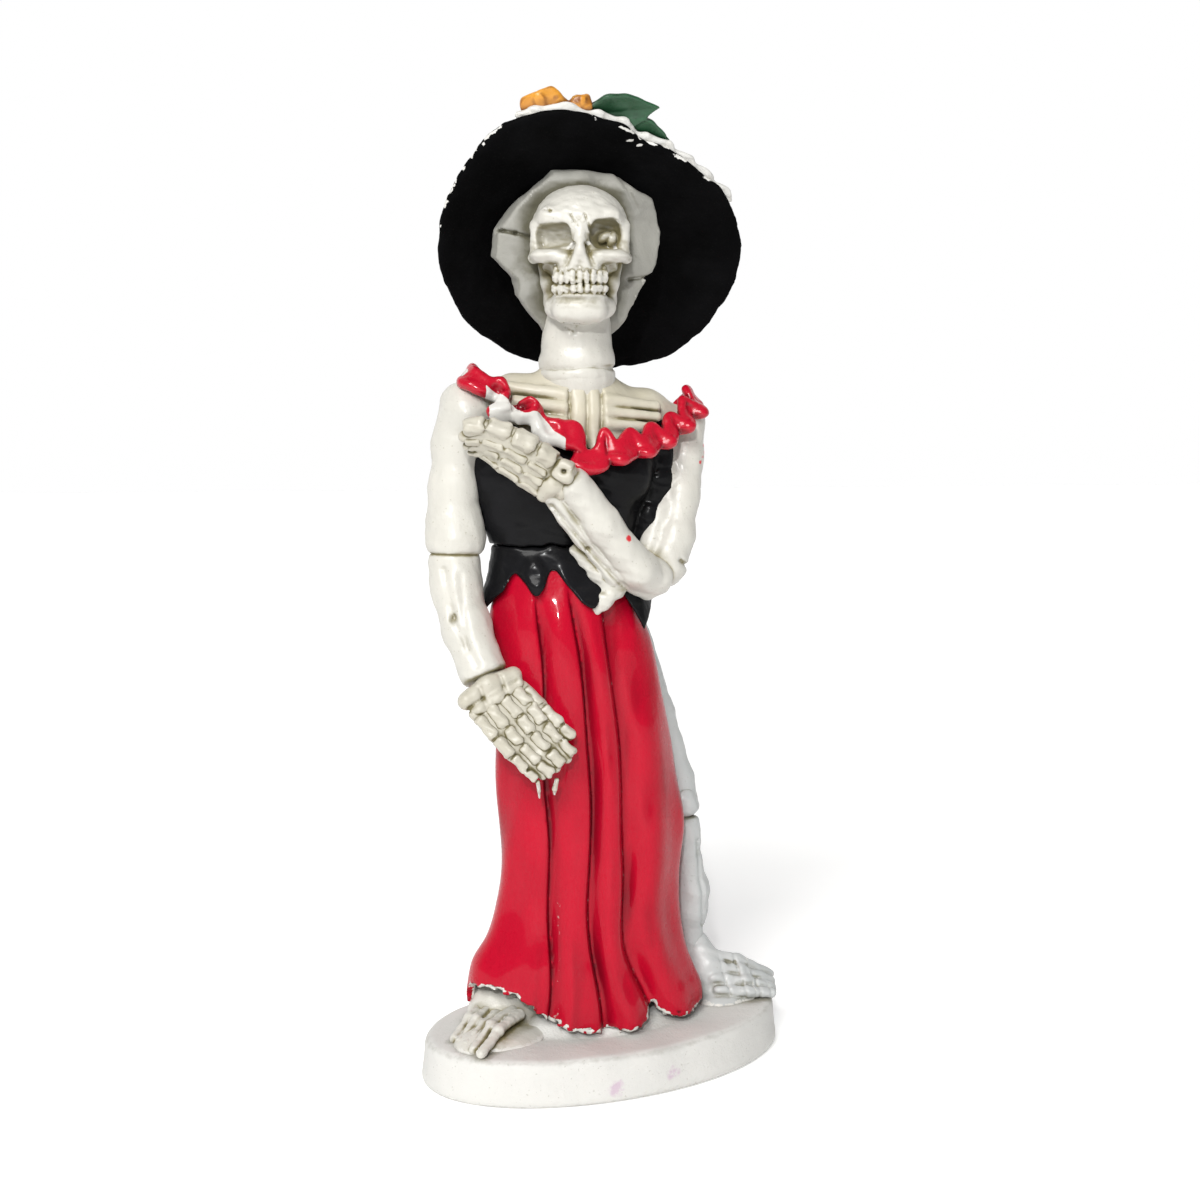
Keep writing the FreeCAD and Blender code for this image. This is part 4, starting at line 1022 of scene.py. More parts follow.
def jaw(p):
    q = in_face(p)
    m = q.copy()
    m[:, 0] = np.abs(q[:, 0])
    d = egg(m, (0, 7.0, -20.4), (8.6, 10.2, 5.0))
    d = join(d, bar(m, (0, 13.2, -21.8), (4.4, 12.6, -21.5), 3.5, 3.2), 2.5)
    d = join(d, chain(m, [(5.0, 11.4, -21.0, 3.2), (7.8, 6.0, -19.8, 2.8), (8.6, -1.0, -17.4, 2.6)], 2), 2)
    d = join(d, chain(m, [(8.8, -0.5, -17.4, 2.6), (10.0, 3.0, -12.0, 1.9), (11.8, 1.5, -6.0, 1.7)], 2), 2)
    d = join(d, egg(m, (0, 9.5, -16.9), (8.4, 8.6, 2.4)), 1.5)
    d = score(d, q, (-4.6, 12, -24.6), (-0.4, 12, -25.0), (0, 1, -0.6), 1.0, 0.5)
    d = both(d, -26.4 - q[:, 2], 2.0)
    return d + handmade(p, 0.08)


def neck(p):
    d = chain(p,
              [(-9.4, 0.6, 221, 11.2), (-9.6, -2.0, 227, 11.0), (-9.8, -2.4, 236, 9.6),
               (-9.8, -2.6, 241, 9.1),
                  (-9.4, -3.2, 249, 9.5)], 5)
    tilt = axes((1, 0, 0.05), (0, 1, 0))
    d = join(d, hoop(p, (-10.0, -2.4, 232.4), 9.2, 2.1, tilt), 2.6)
    d = carve(d, hoop(p, (-10.0, -2.4, 229.3), 12.2, 0.65, tilt), 0.9)
    for a, b in (((-15.5, -12, 242.0), (-12.6, -12, 240.4)), ((-14.0, -12, 240.0), (-12.0, -12, 242.8))):
        d = score(d, p, a, b, (0, -1, 0), 0.35, 0.35)
    return d + handmade(p, 0.1)


def neck_beads(p):
    d = hoop(p, (-10.0, -2.4, 227.4), 9.2, 2.9, axes((1, 0, 0.05), (0, 1, 0)))
    return d + handmade(p, 0.2)


HOOD_EDGE = ((-18.5, 292), (-7.5, 292.6), (1.7, 291.6), (14, 284), (17.7, 274), (16.5, 264.5),
             (12.4, 258.5),
             (8.7, 252.5), (5.4, 245), (2.0, 239), (-18.5, 239), (-21.2, 243.5), (-25.2, 248.4),
             (-28.6, 252.5),
             (-29.4, 258), (-32.2, 260.5), (-35.9, 264.4), (-35.6, 272.6), (-30, 280.2))


def outline(x, z, corners):
    """Signed distance in a plane to a closed outline."""
    pts = np.array(corners, np.float32)
    far = np.full(len(x), 1e9, np.float32)
    sign = np.ones(len(x), np.float32)
    for a, b in zip(pts, np.roll(pts, -1, 0)):
        e = b - a
        wx, wz = x - a[0], z - a[1]
        t = np.clip((wx * e[0] + wz * e[1]) / (e @ e), 0, 1)
        far = np.minimum(far, (wx - t * e[0]) ** 2 + (wz - t * e[1]) ** 2)
        up, down, left = z >= a[1], z < b[1], e[0] * wz > e[1] * wx
        flip = (up & down & left) | (~up & ~down & ~left)
        sign[flip] *= -1
    return sign * np.sqrt(far)


def hood(p):
    x, y, z = p[:, 0], p[:, 1], p[:, 2]
    rim = outline(x, z - 0.25 * np.clip(y, -8, 20), HOOD_EDGE)
    d = both(rim + 0.55 * np.clip(y - 3, 0, 30) - 0.3, egg(p, (-9.4, 4.0, 269.0), (31, 20.0, 30)), 1.0)
    front = -3.5 - 6.0 * ramp(z, 274, 290) + 0.22 * rim + 0.8 * LUMPS(0.6 * p)
    d = both(d, front - y, 1.0)
    d = score(d, p, (-37, -4, 272.5), (-30, -4, 271.4), (0, -1, 0), 1.6, 0.7)
    d = score(d, p, (-30, -4, 271.4), (-23, -4, 269.6), (0, -1, 0), 1.4, 0.6)
    d = score(d, p, (19, -4, 260.2), (7, -4, 258.2), (0, -1, 0), 1.2, 0.7)
    d = score(d, p, (2, -6, 290), (9, -6, 280), (0, -1, 0), 0.5, 0.8)
    h = in_hat(p)
    room = np.minimum(h[:, 2] - brim_dish(h) + 1.6, np.hypot(h[:, 0], h[:, 1]) - 21.3)
    return both(d + handmade(p, 0.16), room, 0.4)


def face_all(p):
    return np.minimum(np.minimum(skull(p), jaw(p)), np.minimum(upper_teeth(p), lower_teeth(p)))


def build_head():
    sculpt("skull_bone", skull, (-32, -29, 250), (12, 19, 290), 0.36, "bone", ["skull"],
           face_all,
           reach=1.2)
    sculpt("jaw_bone", jaw, (-28, -27, 239), (8, 8, 268), 0.36, "bone", ["lower_jaw"],
           face_all)
    sculpt("upper_tooth_row", upper_teeth, (-26, -29, 249), (4, -8, 261), 0.25, "bone",
           ["upper_teeth"], face_all, reach=0.7)
    sculpt("lower_tooth_row", lower_teeth, (-26, -29, 246), (4, -8, 257), 0.25, "bone",
           ["lower_teeth"], face_all, reach=0.7)
    sculpt("neck_column", neck, (-24, -17, 218), (4, 12, 254), 0.45, "bone", ["neck"],
           union(neck, neck_beads))
    sculpt("neck_ring", neck_beads, (-24, -17, 223), (4, 12, 231), 0.4, "bone",
           ["neck_rings"], union(neck, neck_beads))
    sculpt("hair_hood_mass", hood, (-42, -16, 234), (24, 30, 300), 0.5, "hair", ["hair_hood"],
           union(hood, skull, jaw), reach=1.6)


# ---- Hat ----

HAT = np.array([-2.0, 9.5, 272.0])
HAT_TILT = math.radians(53.0)
HAT_TURN = np.array([[1, 0, 0], [0, -math.cos(HAT_TILT), math.sin(HAT_TILT)],
                     [0, math.sin(HAT_TILT), math.cos(HAT_TILT)]])


def in_hat(p):
    """Points in the hat's axes: across, up the brim, out through the crown."""
    return local(p, HAT, HAT_TURN)


def on_hat(across, up, out):
    return HAT + np.array([across, up, out]) @ HAT_TURN


def brim_dish(q):
    """Height of the brim's middle sheet: dished, with its upper right side bent back."""
    r = np.hypot(q[:, 0], q[:, 1])
    angle = np.arctan2(q[:, 1], q[:, 0])
    rise = 1.5 - 6.0 * ramp(r, 24, 52)
    return rise + 0.9 * np.sin(angle * 3 + 0.6) * ramp(r, 30, 52)


def brim_reach(angle):
    """Radius of the brim's outline: nearly round, with its upper right side folded back."""
    return along_z(np.degrees(angle), (-180, 51), (-140, 48.4), (-106, 47.2), (-74, 48.4), (-47, 51.8),
                   (-14, 51.2),
                   (9, 48.7), (28, 44.5), (42, 40.8), (62, 39.2), (76, 38.8), (86, 42), (100, 45.4),
                   (110, 49),
                   (124, 52), (150, 52), (180, 51))


def brim_plate(p):
    q = in_hat(p)
    r = np.hypot(q[:, 0], q[:, 1])
    angle = np.arctan2(q[:, 1], q[:, 0])
    sheet = (np.abs(q[:, 2] - brim_dish(q)) - 1.5) * 0.96
    d = both(sheet, r - brim_reach(angle), 1.6)
    return both(d, 21.5 - r, 0.8)


def brim(p):
    return brim_plate(p) + handmade(p, 0.16)


def brim_bare(p):
    """Worn white paper along the upper right rim, and a few scratches on the underside."""
    q = in_hat(p)
    r = np.hypot(q[:, 0], q[:, 1])
    angle = np.arctan2(q[:, 1], q[:, 0])
    rim = r - brim_reach(angle)
    top = np.exp(-(((angle - 1.15) / 0.75) ** 2))
    edge = ramp(rim, -1.3, -0.3) * top * (0.45 + 0.45 * CRUMBS(p))
    left = ramp(rim, -0.9, -0.3) * np.exp(-(((angle - 2.65) / 0.45) ** 2)) * (0.4 + 0.4 * CRUMBS(p))
    flecks = 0.0
    for across, up, r0 in ((-6, 38, 0.25), (6, 36.5, 0.3), (9.5, 34.8, 0.2), (-2, 31, 0.05),
                           (24, 27.5, 0.15)):
        off = np.hypot((q[:, 0] - across) * 0.4 - 0.2 * (q[:, 1] - up), q[:, 1] - up) + 0.25 * CRUMBS(p)
        flecks = np.maximum(flecks, 1 - ramp(off - r0, -0.2, 0.25))
    return np.maximum(np.maximum(edge, left), flecks * (q[:, 2] < brim_dish(q)))


def crown(p):
    q = in_hat(p)
    r = np.hypot(q[:, 0], q[:, 1])
    outer = 25.0 - 0.2 * np.clip(q[:, 2], 0, 27) + 0.4 * LUMPS(p)
    side = (r - outer) * 0.97
    shell = both(side, q[:, 2] - 26.5 + 1.4 * np.exp(-((r / 12) ** 2)), 4.0)
    shell = carve(shell, both(r - outer + 3.2, q[:, 2] - 23, 3.0), 0.5)
    return both(shell, 2.6 - q[:, 2], 0.4) + handmade(p, 0.14)


def hat_ribbon(p):
    q = in_hat(p)
    r = np.hypot(q[:, 0], q[:, 1])
    middle = 6.2 + 0.4 * np.sin(np.arctan2(q[:, 1], q[:, 0]) * 5)
    wall = np.hypot(np.maximum(np.abs(q[:, 2] - middle) - 2.6, 0),
                    np.maximum(np.abs(r - 24.9) - 0.9, 0)) - 0.5
    return wall + handmade(p, 0.1)


def lace(p):
    """A scalloped cord round the brim's edge, which shows over its upper right side."""
    q = in_hat(p)
    r = np.hypot(q[:, 0], q[:, 1])
    angle = np.arctan2(q[:, 1], q[:, 0])
    scallop = 0.55 * np.sin(angle * 31) + 0.35 * np.sin(angle * 17 + 1)
    line = brim_reach(angle) + 0.1 + scallop
    level = brim_dish(np.stack([line * np.cos(angle), line * np.sin(angle)], 1)) + 1.2
    d = np.hypot(np.maximum(np.abs(r - line) - 0.5, 0), q[:, 2] - level) * 0.8 - 0.75 + 0.12 * CRUMBS(p)
    ends = np.abs(angle - 1.28) - 0.92
    return both(d, ends * 44, 1.5)


def petal(p, c, direction, long, wide):
    """One cupped petal from the bloom's middle c outwards."""
    t = axes(direction, HAT_TURN[2])
    q = local(p, c, t)
    s = np.clip(q[:, 0] / long, 0, 1)
    lift = 2.2 * s**2
    half = wide * np.sqrt(np.clip(1 - (2 * s - 1.1) ** 2 / 1.25, 0.02, 1))
    rho = np.hypot((q[:, 0] - long / 2) / (long / 2), q[:, 2] / np.maximum(half, 0.3))
    flat = (rho - 1) * min(long / 2, wide) * 0.7
    thick = np.abs(q[:, 1] - lift) - 0.9
    return both(flat, thick, 0.9)


BLOOMS = (((-21.0, 43.2, -2.0), 8.4, 4.6, 12), ((-10.4, 45.8, -1.8), 4.0, 2.6, 50))


def petals(p):
    d = None
    for middle, long, wide, start in BLOOMS:
        for number in range(5):
            a = math.radians(start + number * 72)
            way = np.array([math.cos(a), math.sin(a), 0.05]) @ HAT_TURN
            piece = petal(p, on_hat(*middle), way, long, wide)
            d = piece if d is None else join(d, piece, 0.4)
    return d + 0.1 * RIPPLE(p)


def bloom_eyes(p):
    d = None
    for middle, long, _, _ in BLOOMS:
        knob = egg(p, on_hat(middle[0], middle[1], middle[2] + 1.4), (0.3 * long, 0.3 * long, 0.26 * long),
                   HAT_TURN)
        d = knob if d is None else np.minimum(d, knob)
    return d + 0.12 * CRUMBS(1.4 * p)


def blade(p, a, b, wide):
    """A pointed leaf from a to b, creased along its middle."""
    a, b = np.array(a, float), np.array(b, float)
    long = np.linalg.norm(b - a)
    q = local(p, a, axes(b - a, HAT_TURN[2]))
    s = np.clip(q[:, 0] / long, 0, 1)
    half = wide * np.sin(math.pi * np.clip(s, 0.02, 0.98) ** 0.8) ** 0.7
    rho = np.hypot((q[:, 0] - long / 2) / (long / 2), q[:, 2] / np.maximum(half, 0.3))
    flat = (rho - 1) * wide * 0.7
    crease = 0.35 * np.abs(q[:, 2])
    return both(flat, np.abs(q[:, 1] - 1.2 * np.sin(math.pi * s) + crease) - 0.9, 0.8)


def leaves(p):
    d = blade(p, on_hat(-11, 42.0, 0.0), on_hat(15.0, 46.6, 0.2), 6.6)
    d = join(d, blade(p, on_hat(1, 40.0, 0.2), on_hat(20.5, 35.4, 1.0), 5.0), 1.2)
    d = join(d, blade(p, on_hat(-24, 38, -1.2), on_hat(-38, 29, -1.4), 4.4), 0.6)
    return d + 0.1 * RIPPLE(p)


def trim_all(p):
    return np.minimum(np.minimum(petals(p), leaves(p)), np.minimum(bloom_eyes(p), brim_plate(p)))


def build_hat():
    low, high = (-56, -26, 226), (52, 46, 320)
    sculpt("brim_plate", brim, low, high, 0.7, "hat", ["hat_brim"], bare=brim_bare, reach=1.4)
    sculpt("crown_shell", crown, (-30, -8, 250), (26, 48, 310), 0.75, "hat", ["hat_crown"],
           union(crown, brim_plate))
    sculpt("crown_ribbon", hat_ribbon, (-31, -9, 248), (27, 40, 302), 0.55, "band",
           ["hat_band"],
           union(crown, brim_plate, hat_ribbon))
    sculpt("lace_edge", lace, (-40, -36, 262), (56, 26, 322), 0.34, "lace", ["lace_trim"])
    sculpt("bloom_petals", petals, (-36, -34, 294), (0, -4, 324), 0.33, "petal",
           ["flower_petals"], trim_all)
    sculpt("bloom_knobs", bloom_eyes, (-30, -34, 298), (2, -4, 324), 0.3, "eye",
           ["flower_eyes"],
           trim_all)
    sculpt("leaf_blades", leaves, (-46, -34, 286), (30, 4, 324), 0.4, "leaf",
           ["flower_leaves"],
           trim_all)


# ---- Arms and hands ----


def upper_arm_right(p):
    d = chain(p,
              [(-46.0, -1.0, 217.5, 8.0), (-48.6, -0.5, 206, 7.4), (-49.6, 0, 192, 7.6),
               (-49.5, -0.5, 180, 8.6),
                  (-49.2, -1.0, 175.5, 9.6)], 3)
    d = join(d, ball(p, (-45.5, -4.5, 215), 6.8), 2.5)
    return both(d, 170.6 - p[:, 2], 2.0) + handmade(p)


def forearm_right(p):
    d = chain(p,
              [(-49.8, -1.5, 168, 8.4), (-49.6, -3.5, 160, 7.7), (-47.2, -8, 148, 7.6),
               (-43.2, -14, 135, 7.6)], 3)
    d = both(d, p[:, 2] - 171.4, 1.6)
    end = (p - np.array([-42.8, -15.2, 132.6], np.float32)) @ unit((0.35, -0.45, -0.82)).astype(np.float32)
    d = both(d, end, 1.2)
    front = (-0.2, -1, 0)
    d = score(d, p, (-54.3, -9, 166.6), (-51.9, -12, 151), front, 0.85, 1.2)
    d = score(d, p, (-51.9, -12, 151), (-45.4, -19, 137), front, 0.75, 1.2)
    d = score(d, p, (-48.8, -9, 164.5), (-48.4, -16, 141), front, 0.5, 1.1)
    d = score(d, p, (-51.4, -12, 152.2), (-51.3, -12, 151.4), front, 1.1, 0.7)
    return d + handmade(p)


def upper_arm_left(p):
    return join(humerus_left(p), arm_web(p), 1.5)


def humerus_left(p):
    d = chain(p, [(28.0, 1.5, 213, 6.4), (26.6, -1, 201, 5.9), (24.8, -4, 189, 5.7), (21.8, -7.5, 176, 5.9),
                  (17.8, -10.5, 166.5, 6.6)], 3)
    return score(d, p, (21, -12, 168.5), (26, -12, 165.5), (0, -1, 0), 1.2, 0.7) + handmade(p)


def forearm_left(p):
    main = chain(p, [(12.5, -14.5, 163.6, 6.2), (6.0, -19, 166.2, 5.9), (-6.5, -23, 180.6, 5.6),
                     (-16.4, -26.0, 193.4, 5.4)], 3)
    under = chain(p, [(11, -13, 160.6, 4.6), (-0.6, -17.5, 164.4, 3.5), (-12.5, -20.5, 177.6, 3.2),
                      (-23.0, -23.5, 190.2, 3.4)], 2)
    d = join(main, under, 0.8)
    end = (p - np.array([-19.2, -26, 195.0], np.float32)) @ unit((-0.66, -0.1, 0.74)).astype(np.float32)
    d = both(d, end, 1.0)
    front = (-0.2, -1, -0.2)
    d = score(d, p, (-22.8, -24, 187.2), (-10.8, -22, 173.2), front, 1.0, 0.8)
    d = score(d, p, (-10.8, -22, 173.2), (2.2, -20, 159.6), front, 0.9, 0.8)
    return d + handmade(p, 0.16)


def elbow_web(p):
    """Unpainted pulp left between the left elbow and the hip."""
    d = chain(p, [(2.0, -13.5, 162.0, 3.4), (-1.6, -15.0, 160.0, 3.2), (-4.2, -15.8, 156.5, 2.8),
                  (-6.6, -16.2, 153.6, 1.8)], 2)
    d = join(d, chain(p, [(-13, -15.5, 172.5, 2.2), (-6, -15.5, 165.0, 2.8), (0, -14.5, 160.5, 3.0)], 2), 2)
    return d + 0.13 * CRUMBS(p)


def arm_web(p):
    """Unpainted pulp closing the gap between the bodice and the left arm."""
    d = chain(p,
              [(21.0, -1.0, 206, 3.6), (19.8, -3.0, 195, 3.8), (17.2, -5.5, 183, 4.0),
               (12.5, -8.5, 171, 4.2)], 3)
    return d + handmade(p, 0.2)


RED_DOTS = ((1.0, -28.2, 176.5, 0.9), (33.0, -5.0, 203.0, 0.5), (31.8, -6.4, 201.4, 0.5),
            (30.6, -7.0, 199.8, 0.5),
            (32.6, -5.2, 205.2, 0.4))


def red_dots(p):
    d = np.full(len(p), 9.0, np.float32)
    for x, _, z, r in RED_DOTS:
        d = np.minimum(d, np.hypot(p[:, 0] - x, p[:, 2] - z) - r)
    return (1 - ramp(d, -0.2, 0.5)) * (p[:, 1] < -2)


def phalanx(p, a, b, r, back, k=0.72):
    """One blocky finger bone from a to b, flattened on its back, knuckles a little wider."""
    a, b = np.array(a, float), np.array(b, float)
    rng = np.random.RandomState(int(abs(a @ (7.1, 3.3, 5.7)) * 10) % 9973)
    t = axes(b - a + rng.uniform(-0.35, 0.35, 3), np.array(back) + rng.uniform(-0.22, 0.22, 3))
    q = local(p, (a + b) / 2 + rng.uniform(-0.15, 0.15, 3), t)
    r = r * rng.uniform(0.94, 1.08)
    half = np.linalg.norm(b - a) / 2 - rng.uniform(0.0, 0.25)
    waist = 1 - 0.2 * np.cos(np.clip(q[:, 0] / half, -1, 1) * math.pi / 2)
    q = q / np.stack([np.ones(len(q)), waist, waist], 1).astype(np.float32)
    return brick(q, (0, 0, 0), (half, r * 0.94, r), r * k)


def finger(p, stops, back):
    d = None
    for one, two in zip(stops, stops[1:]):
        a, b = np.array(one[:3]), np.array(two[:3])
        bone = phalanx(p, a, b, one[3], back)
        d = bone if d is None else join(d, bone, 0.35)
    return d + handmade(p, 0.07) + 0.12 * CRUMBS(1.2 * p)


R_BACK = unit((0.25, -0.95, -0.30))
R_FINGERS = {
    "little": [(-46.6, -22.2, 121.8, 2.2), (-40.9, -24.9, 115.2, 2.1), (-36.2, -26.9, 109.6, 1.9),
               (-31.8, -28.4, 105.2, 1.6), (-28.9, -29.2, 102.2, 1.4)],
    "ring": [(-42.6, -21.3, 124.8, 2.4), (-37.6, -23.8, 118.0, 2.3), (-33.2, -25.7, 112.8, 2.2),
             (-28.2, -27.7, 107.4, 2.1), (-23.8, -29.0, 103.6, 1.9)],
    "middle": [(-38.0, -20.4, 127.4, 2.5), (-33.2, -22.8, 121.2, 2.4), (-29.6, -24.7, 116.2, 2.3),
               (-24.8, -26.8, 110.8, 2.3), (-20.2, -28.2, 106.2, 2.0)],
    "index": [(-34.4, -19.2, 129.8, 2.4), (-29.8, -21.5, 124.6, 2.4), (-25.8, -23.8, 118.8, 2.4),
              (-20.8, -25.8, 113.6, 2.3), (-16.6, -27.2, 109.0, 2.1)],
}
R_THUMB = [(-31.0, -19.0, 129.4, 2.6), (-25.8, -21.6, 123.8, 2.7), (-20.2, -24.2, 117.8, 2.5),
           (-16.4, -25.4, 114.0, 2.0)]


def carpals_right(p):
    d = chain(p, [(-48.8, -19.6, 126.6, 3.0), (-42.0, -18.2, 130.8, 3.4), (-34.2, -17.2, 133.2, 3.0)], 1.5)
    row = chain(p, [(-45.8, -21.0, 124.2, 2.6), (-39.4, -19.8, 128.0, 2.8), (-33.4, -18.6, 131.0, 2.5)],
                1.2)
    d = join(d, row, 0.5)
    for a, b in (((-45.0, -20, 130), (-43.4, -22, 124.5)), ((-38.8, -20, 134), (-36.6, -22, 127.0))):
        d = score(d, p, a, b, (0, -1, 0), 0.6, 0.8)
    d = score(d, p, (-48.6, -20, 124.8), (-33.6, -19, 132.2), (0, -1, -0.2), 0.6, 0.8)
    return d + handmade(p, 0.12)


def filling(p, fingers, back, k):
    """Pulp between the fingers, a little lower than their backs."""
    d = None
    for stops in fingers.values():
        sunk = [(*(np.array(s[:3]) - unit(back) * 1.4), s[3] * 0.8) for s in stops[:-1]]
        piece = chain(p, sunk, 1.0)
        d = piece if d is None else join(d, piece, k)
    rows = list(fingers.values())
    for one, two in zip(rows, rows[1:]):
        between = [(*((np.array(a[:3]) + b[:3]) / 2 - unit(back) * 1.6), (a[3] + b[3]) * 0.42)
                   for a, b in zip(one, two)]
        d = join(d, chain(p, between, 1.0), k)
    return d + handmade(p, 0.1)


def palm_right(p):
    return filling(p, {**R_FINGERS, "thumb": R_THUMB}, R_BACK, 1.2)


def flash_right(p):
    """Slivers of flash left under the fingertips."""
    d = chain(p, [(-28.6, -28.8, 101.6, 0.7), (-27.8, -26.6, 98.4, 0.5), (-27.4, -25.2, 95.8, 0.3)], 0.5)
    other = chain(p, [(-22.4, -28.0, 101.8, 0.7), (-22.6, -25.8, 98.6, 0.8), (-22.4, -24.6, 96.6, 0.4)],
                  0.5)
    return np.minimum(d, other)


def hand_right(p):
    d = np.minimum(carpals_right(p), palm_right(p))
    for stops in R_FINGERS.values():
        d = np.minimum(d, finger(p, stops, R_BACK))
    return np.minimum(d, finger(p, R_THUMB, R_BACK))


L_BACK = unit((-0.25, -0.80, 0.55))
L_FINGERS = {
    "index": [(-22.6, -29.2, 200.4, 3.4), (-28.8, -29.8, 204.6, 3.5), (-36.2, -29.0, 208.8, 3.4),
              (-43.6, -27.2, 211.4, 3.1), (-50.4, -24.6, 210.6, 2.7)],
    "middle": [(-24.8, -27.8, 196.6, 1.9), (-31.2, -28.2, 200.8, 1.9), (-38.0, -27.0, 204.6, 1.8),
               (-44.6, -24.8, 207.0, 1.7), (-49.6, -22.2, 207.2, 1.7)],
    "ring": [(-25.6, -25.8, 193.6, 1.8), (-32.0, -25.8, 197.8, 1.8), (-38.6, -24.4, 201.8, 1.7),
             (-44.4, -21.8, 205.2, 1.8), (-48.2, -19.8, 205.0, 1.5)],
    "little": [(-26.0, -23.4, 190.8, 1.7), (-32.4, -23.2, 195.0, 1.7), (-38.6, -21.8, 199.2, 1.6),
               (-43.4, -19.4, 203.0, 1.6), (-46.4, -17.8, 203.2, 1.3)],
}


def carpals_left(p):
    d = chain(p, [(-19.6, -27.6, 197.6, 3.2), (-23.2, -26.4, 193.2, 3.2), (-24.8, -23.4, 190.2, 2.8)], 1.2)
    d = join(d, chain(p, [(-17.0, -27.0, 196.4, 2.6), (-20.4, -26.0, 191.6, 2.8)], 1.0), 0.5)
    return d + handmade(p, 0.2)


def thumb_left(p):
    t = axes((0.8, -0.35, 0.35), (-0.3, 0.1, 0.9))
    d = hoop(p, (-20.4, -30.6, 197.6), 2.2, 1.7, t) + 0.3 * RIPPLE(p)
    d = join(d, bar(p, (-18.4, -30.0, 199.0), (-17.6, -28.4, 196.4), 1.8), 0.8)
    return d + handmade(p, 0.1)


def palm_left(p):
    return filling(p, L_FINGERS, L_BACK, 0.8)


def hand_left(p):
    d = np.minimum(carpals_left(p), np.minimum(palm_left(p), thumb_left(p)))
    for stops in L_FINGERS.values():
        d = np.minimum(d, finger(p, stops, L_BACK))
    return d


def arm_left_all(p):
    return np.minimum(np.minimum(forearm_left(p), upper_arm_left(p)), hand_left(p))


def arm_right_all(p):
    return np.minimum(np.minimum(forearm_right(p), upper_arm_right(p)), hand_right(p))


def box_of(stops, pad=1.5):
    pts = np.array(stops)
    wide = pts[:, 3:4] + pad
    return (pts[:, :3] - wide).min(0), (pts[:, :3] + wide).max(0)


def build_arms():
    sculpt("right_humerus", upper_arm_right, (-62, -13, 168), (-36, 11, 228), 0.6, "bone",
           ["right_upper_arm"], arm_right_all)
    sculpt("right_forearm_bones", forearm_right, (-61, -26, 126), (-33, 9, 174), 0.5, "bone",
           ["right_forearm"], arm_right_all)
    sculpt("left_humerus", upper_arm_left, (8, -20, 157), (38, 11, 222), 0.55, "bone",
           ["left_upper_arm"], arm_left_all, stain=red_dots)
    sculpt("left_forearm_bones", union(forearm_left, elbow_web), (-30, -34, 147),
           (21, -5, 203), 0.5, "bone", ["left_forearm"], arm_left_all, stain=red_dots)
    hands = (("right", R_FINGERS, R_BACK, hand_right), ("left", L_FINGERS, L_BACK, hand_left))
    for side, fingers, back, everything in hands:
        for name, stops in fingers.items():
            low, high = box_of(stops)
            field = lambda p, s=stops, b=back: finger(p, s, b)
            sculpt(f"{side}_{name}_bones", field, low, high, 0.33, "hand",
                   [f"{side}_{name}_finger"], everything, reach=0.9)
    sculpt("right_carpal_bones", carpals_right, (-54, -27, 118), (-28, -12, 139), 0.36, "hand",
           ["right_carpals"], hand_right, reach=0.9)
    sculpt("right_palm_bones", palm_right, (-52, -33, 98), (-16, -14, 134), 0.45, "hand",
           ["right_palm"], hand_right)
    low, high = box_of(R_THUMB)
    sculpt("right_thumb_bones", lambda p: np.minimum(finger(p, R_THUMB, R_BACK), flash_right(p)),
           np.minimum(low, (-31, -31, 94)), np.maximum(high, (-20, -22, 104)), 0.33, "hand",
           ["right_thumb"], hand_right, reach=0.9)
    sculpt("left_carpal_bones", carpals_left, (-31, -33, 184), (-12, -18, 203), 0.36, "hand",
           ["left_carpals"], hand_left, reach=0.9)
    sculpt("left_palm_bones", palm_left, (-55, -35, 186), (-18, -14, 218), 0.45, "hand",
           ["left_palm"], hand_left)
    sculpt("left_thumb_bones", thumb_left, (-27, -36, 190), (-13, -24, 205), 0.3, "hand",
           ["left_thumb"], hand_left, reach=0.9)


# ---- Wires and inner cores, camera, light and floor ----


def wire_paint():
    n = Nodes("wire")
    n.shader.inputs["Metallic"].default_value = 1.0
    n.link(n.blend(n.noise(3.0), (0.30, 0.30, 0.31), (0.16, 0.13, 0.11)), n.shader.inputs["Base Color"])
    n.link(n.fit(n.noise(1.2), 0.3, 0.7, 0.35, 0.6), n.shader.inputs["Roughness"])
    PAINTS["wire"] = n.material


def pulp_paint():
    n = Nodes("pulp")
    n.link(n.blend(n.noise(2.0, 5.0), (0.62, 0.58, 0.48), (0.48, 0.45, 0.38)),
           n.shader.inputs["Base Color"])
    n.shader.inputs["Roughness"].default_value = 0.9
    bump = n.add("ShaderNodeBump")
    bump.inputs["Distance"].default_value = 0.5 * MM
    n.link(n.noise(1.0, 4.0), bump.inputs["Height"])
    n.link(bump.outputs[0], n.shader.inputs["Normal"])
    PAINTS["pulp"] = n.material


def dress_hidden_nodes():
    """Wires and inner cores keep their plain shape, with paints of their own."""
    wire_paint()
    pulp_paint()
    for name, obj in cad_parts.items():
        if name.endswith("_wire"):
            obj.data.materials.clear()
            obj.data.materials.append(PAINTS["wire"])
        elif name in ("right_leg_core", "pelvis"):
            obj.data.materials.clear()
            obj.data.materials.append(PAINTS["pulp"])


KEY_FROM = (-0.62, -0.95, 0.95)
KEY_STRENGTH = 2.45
GLINT_FROM = (-0.35, -1.05, 0.62)
GLINT_SIZE = 0.045
GLINT_POWER = 5.5
FIGURE_MIDDLE = (-0.005, 0, 0.17)
EYE_AWAY = 0.512
EYE_HEIGHT = 0.207
EYE_LEFT = 0.0021
EYE_FORWARD = 0.0020
FLOOR_GLOW = 0.24


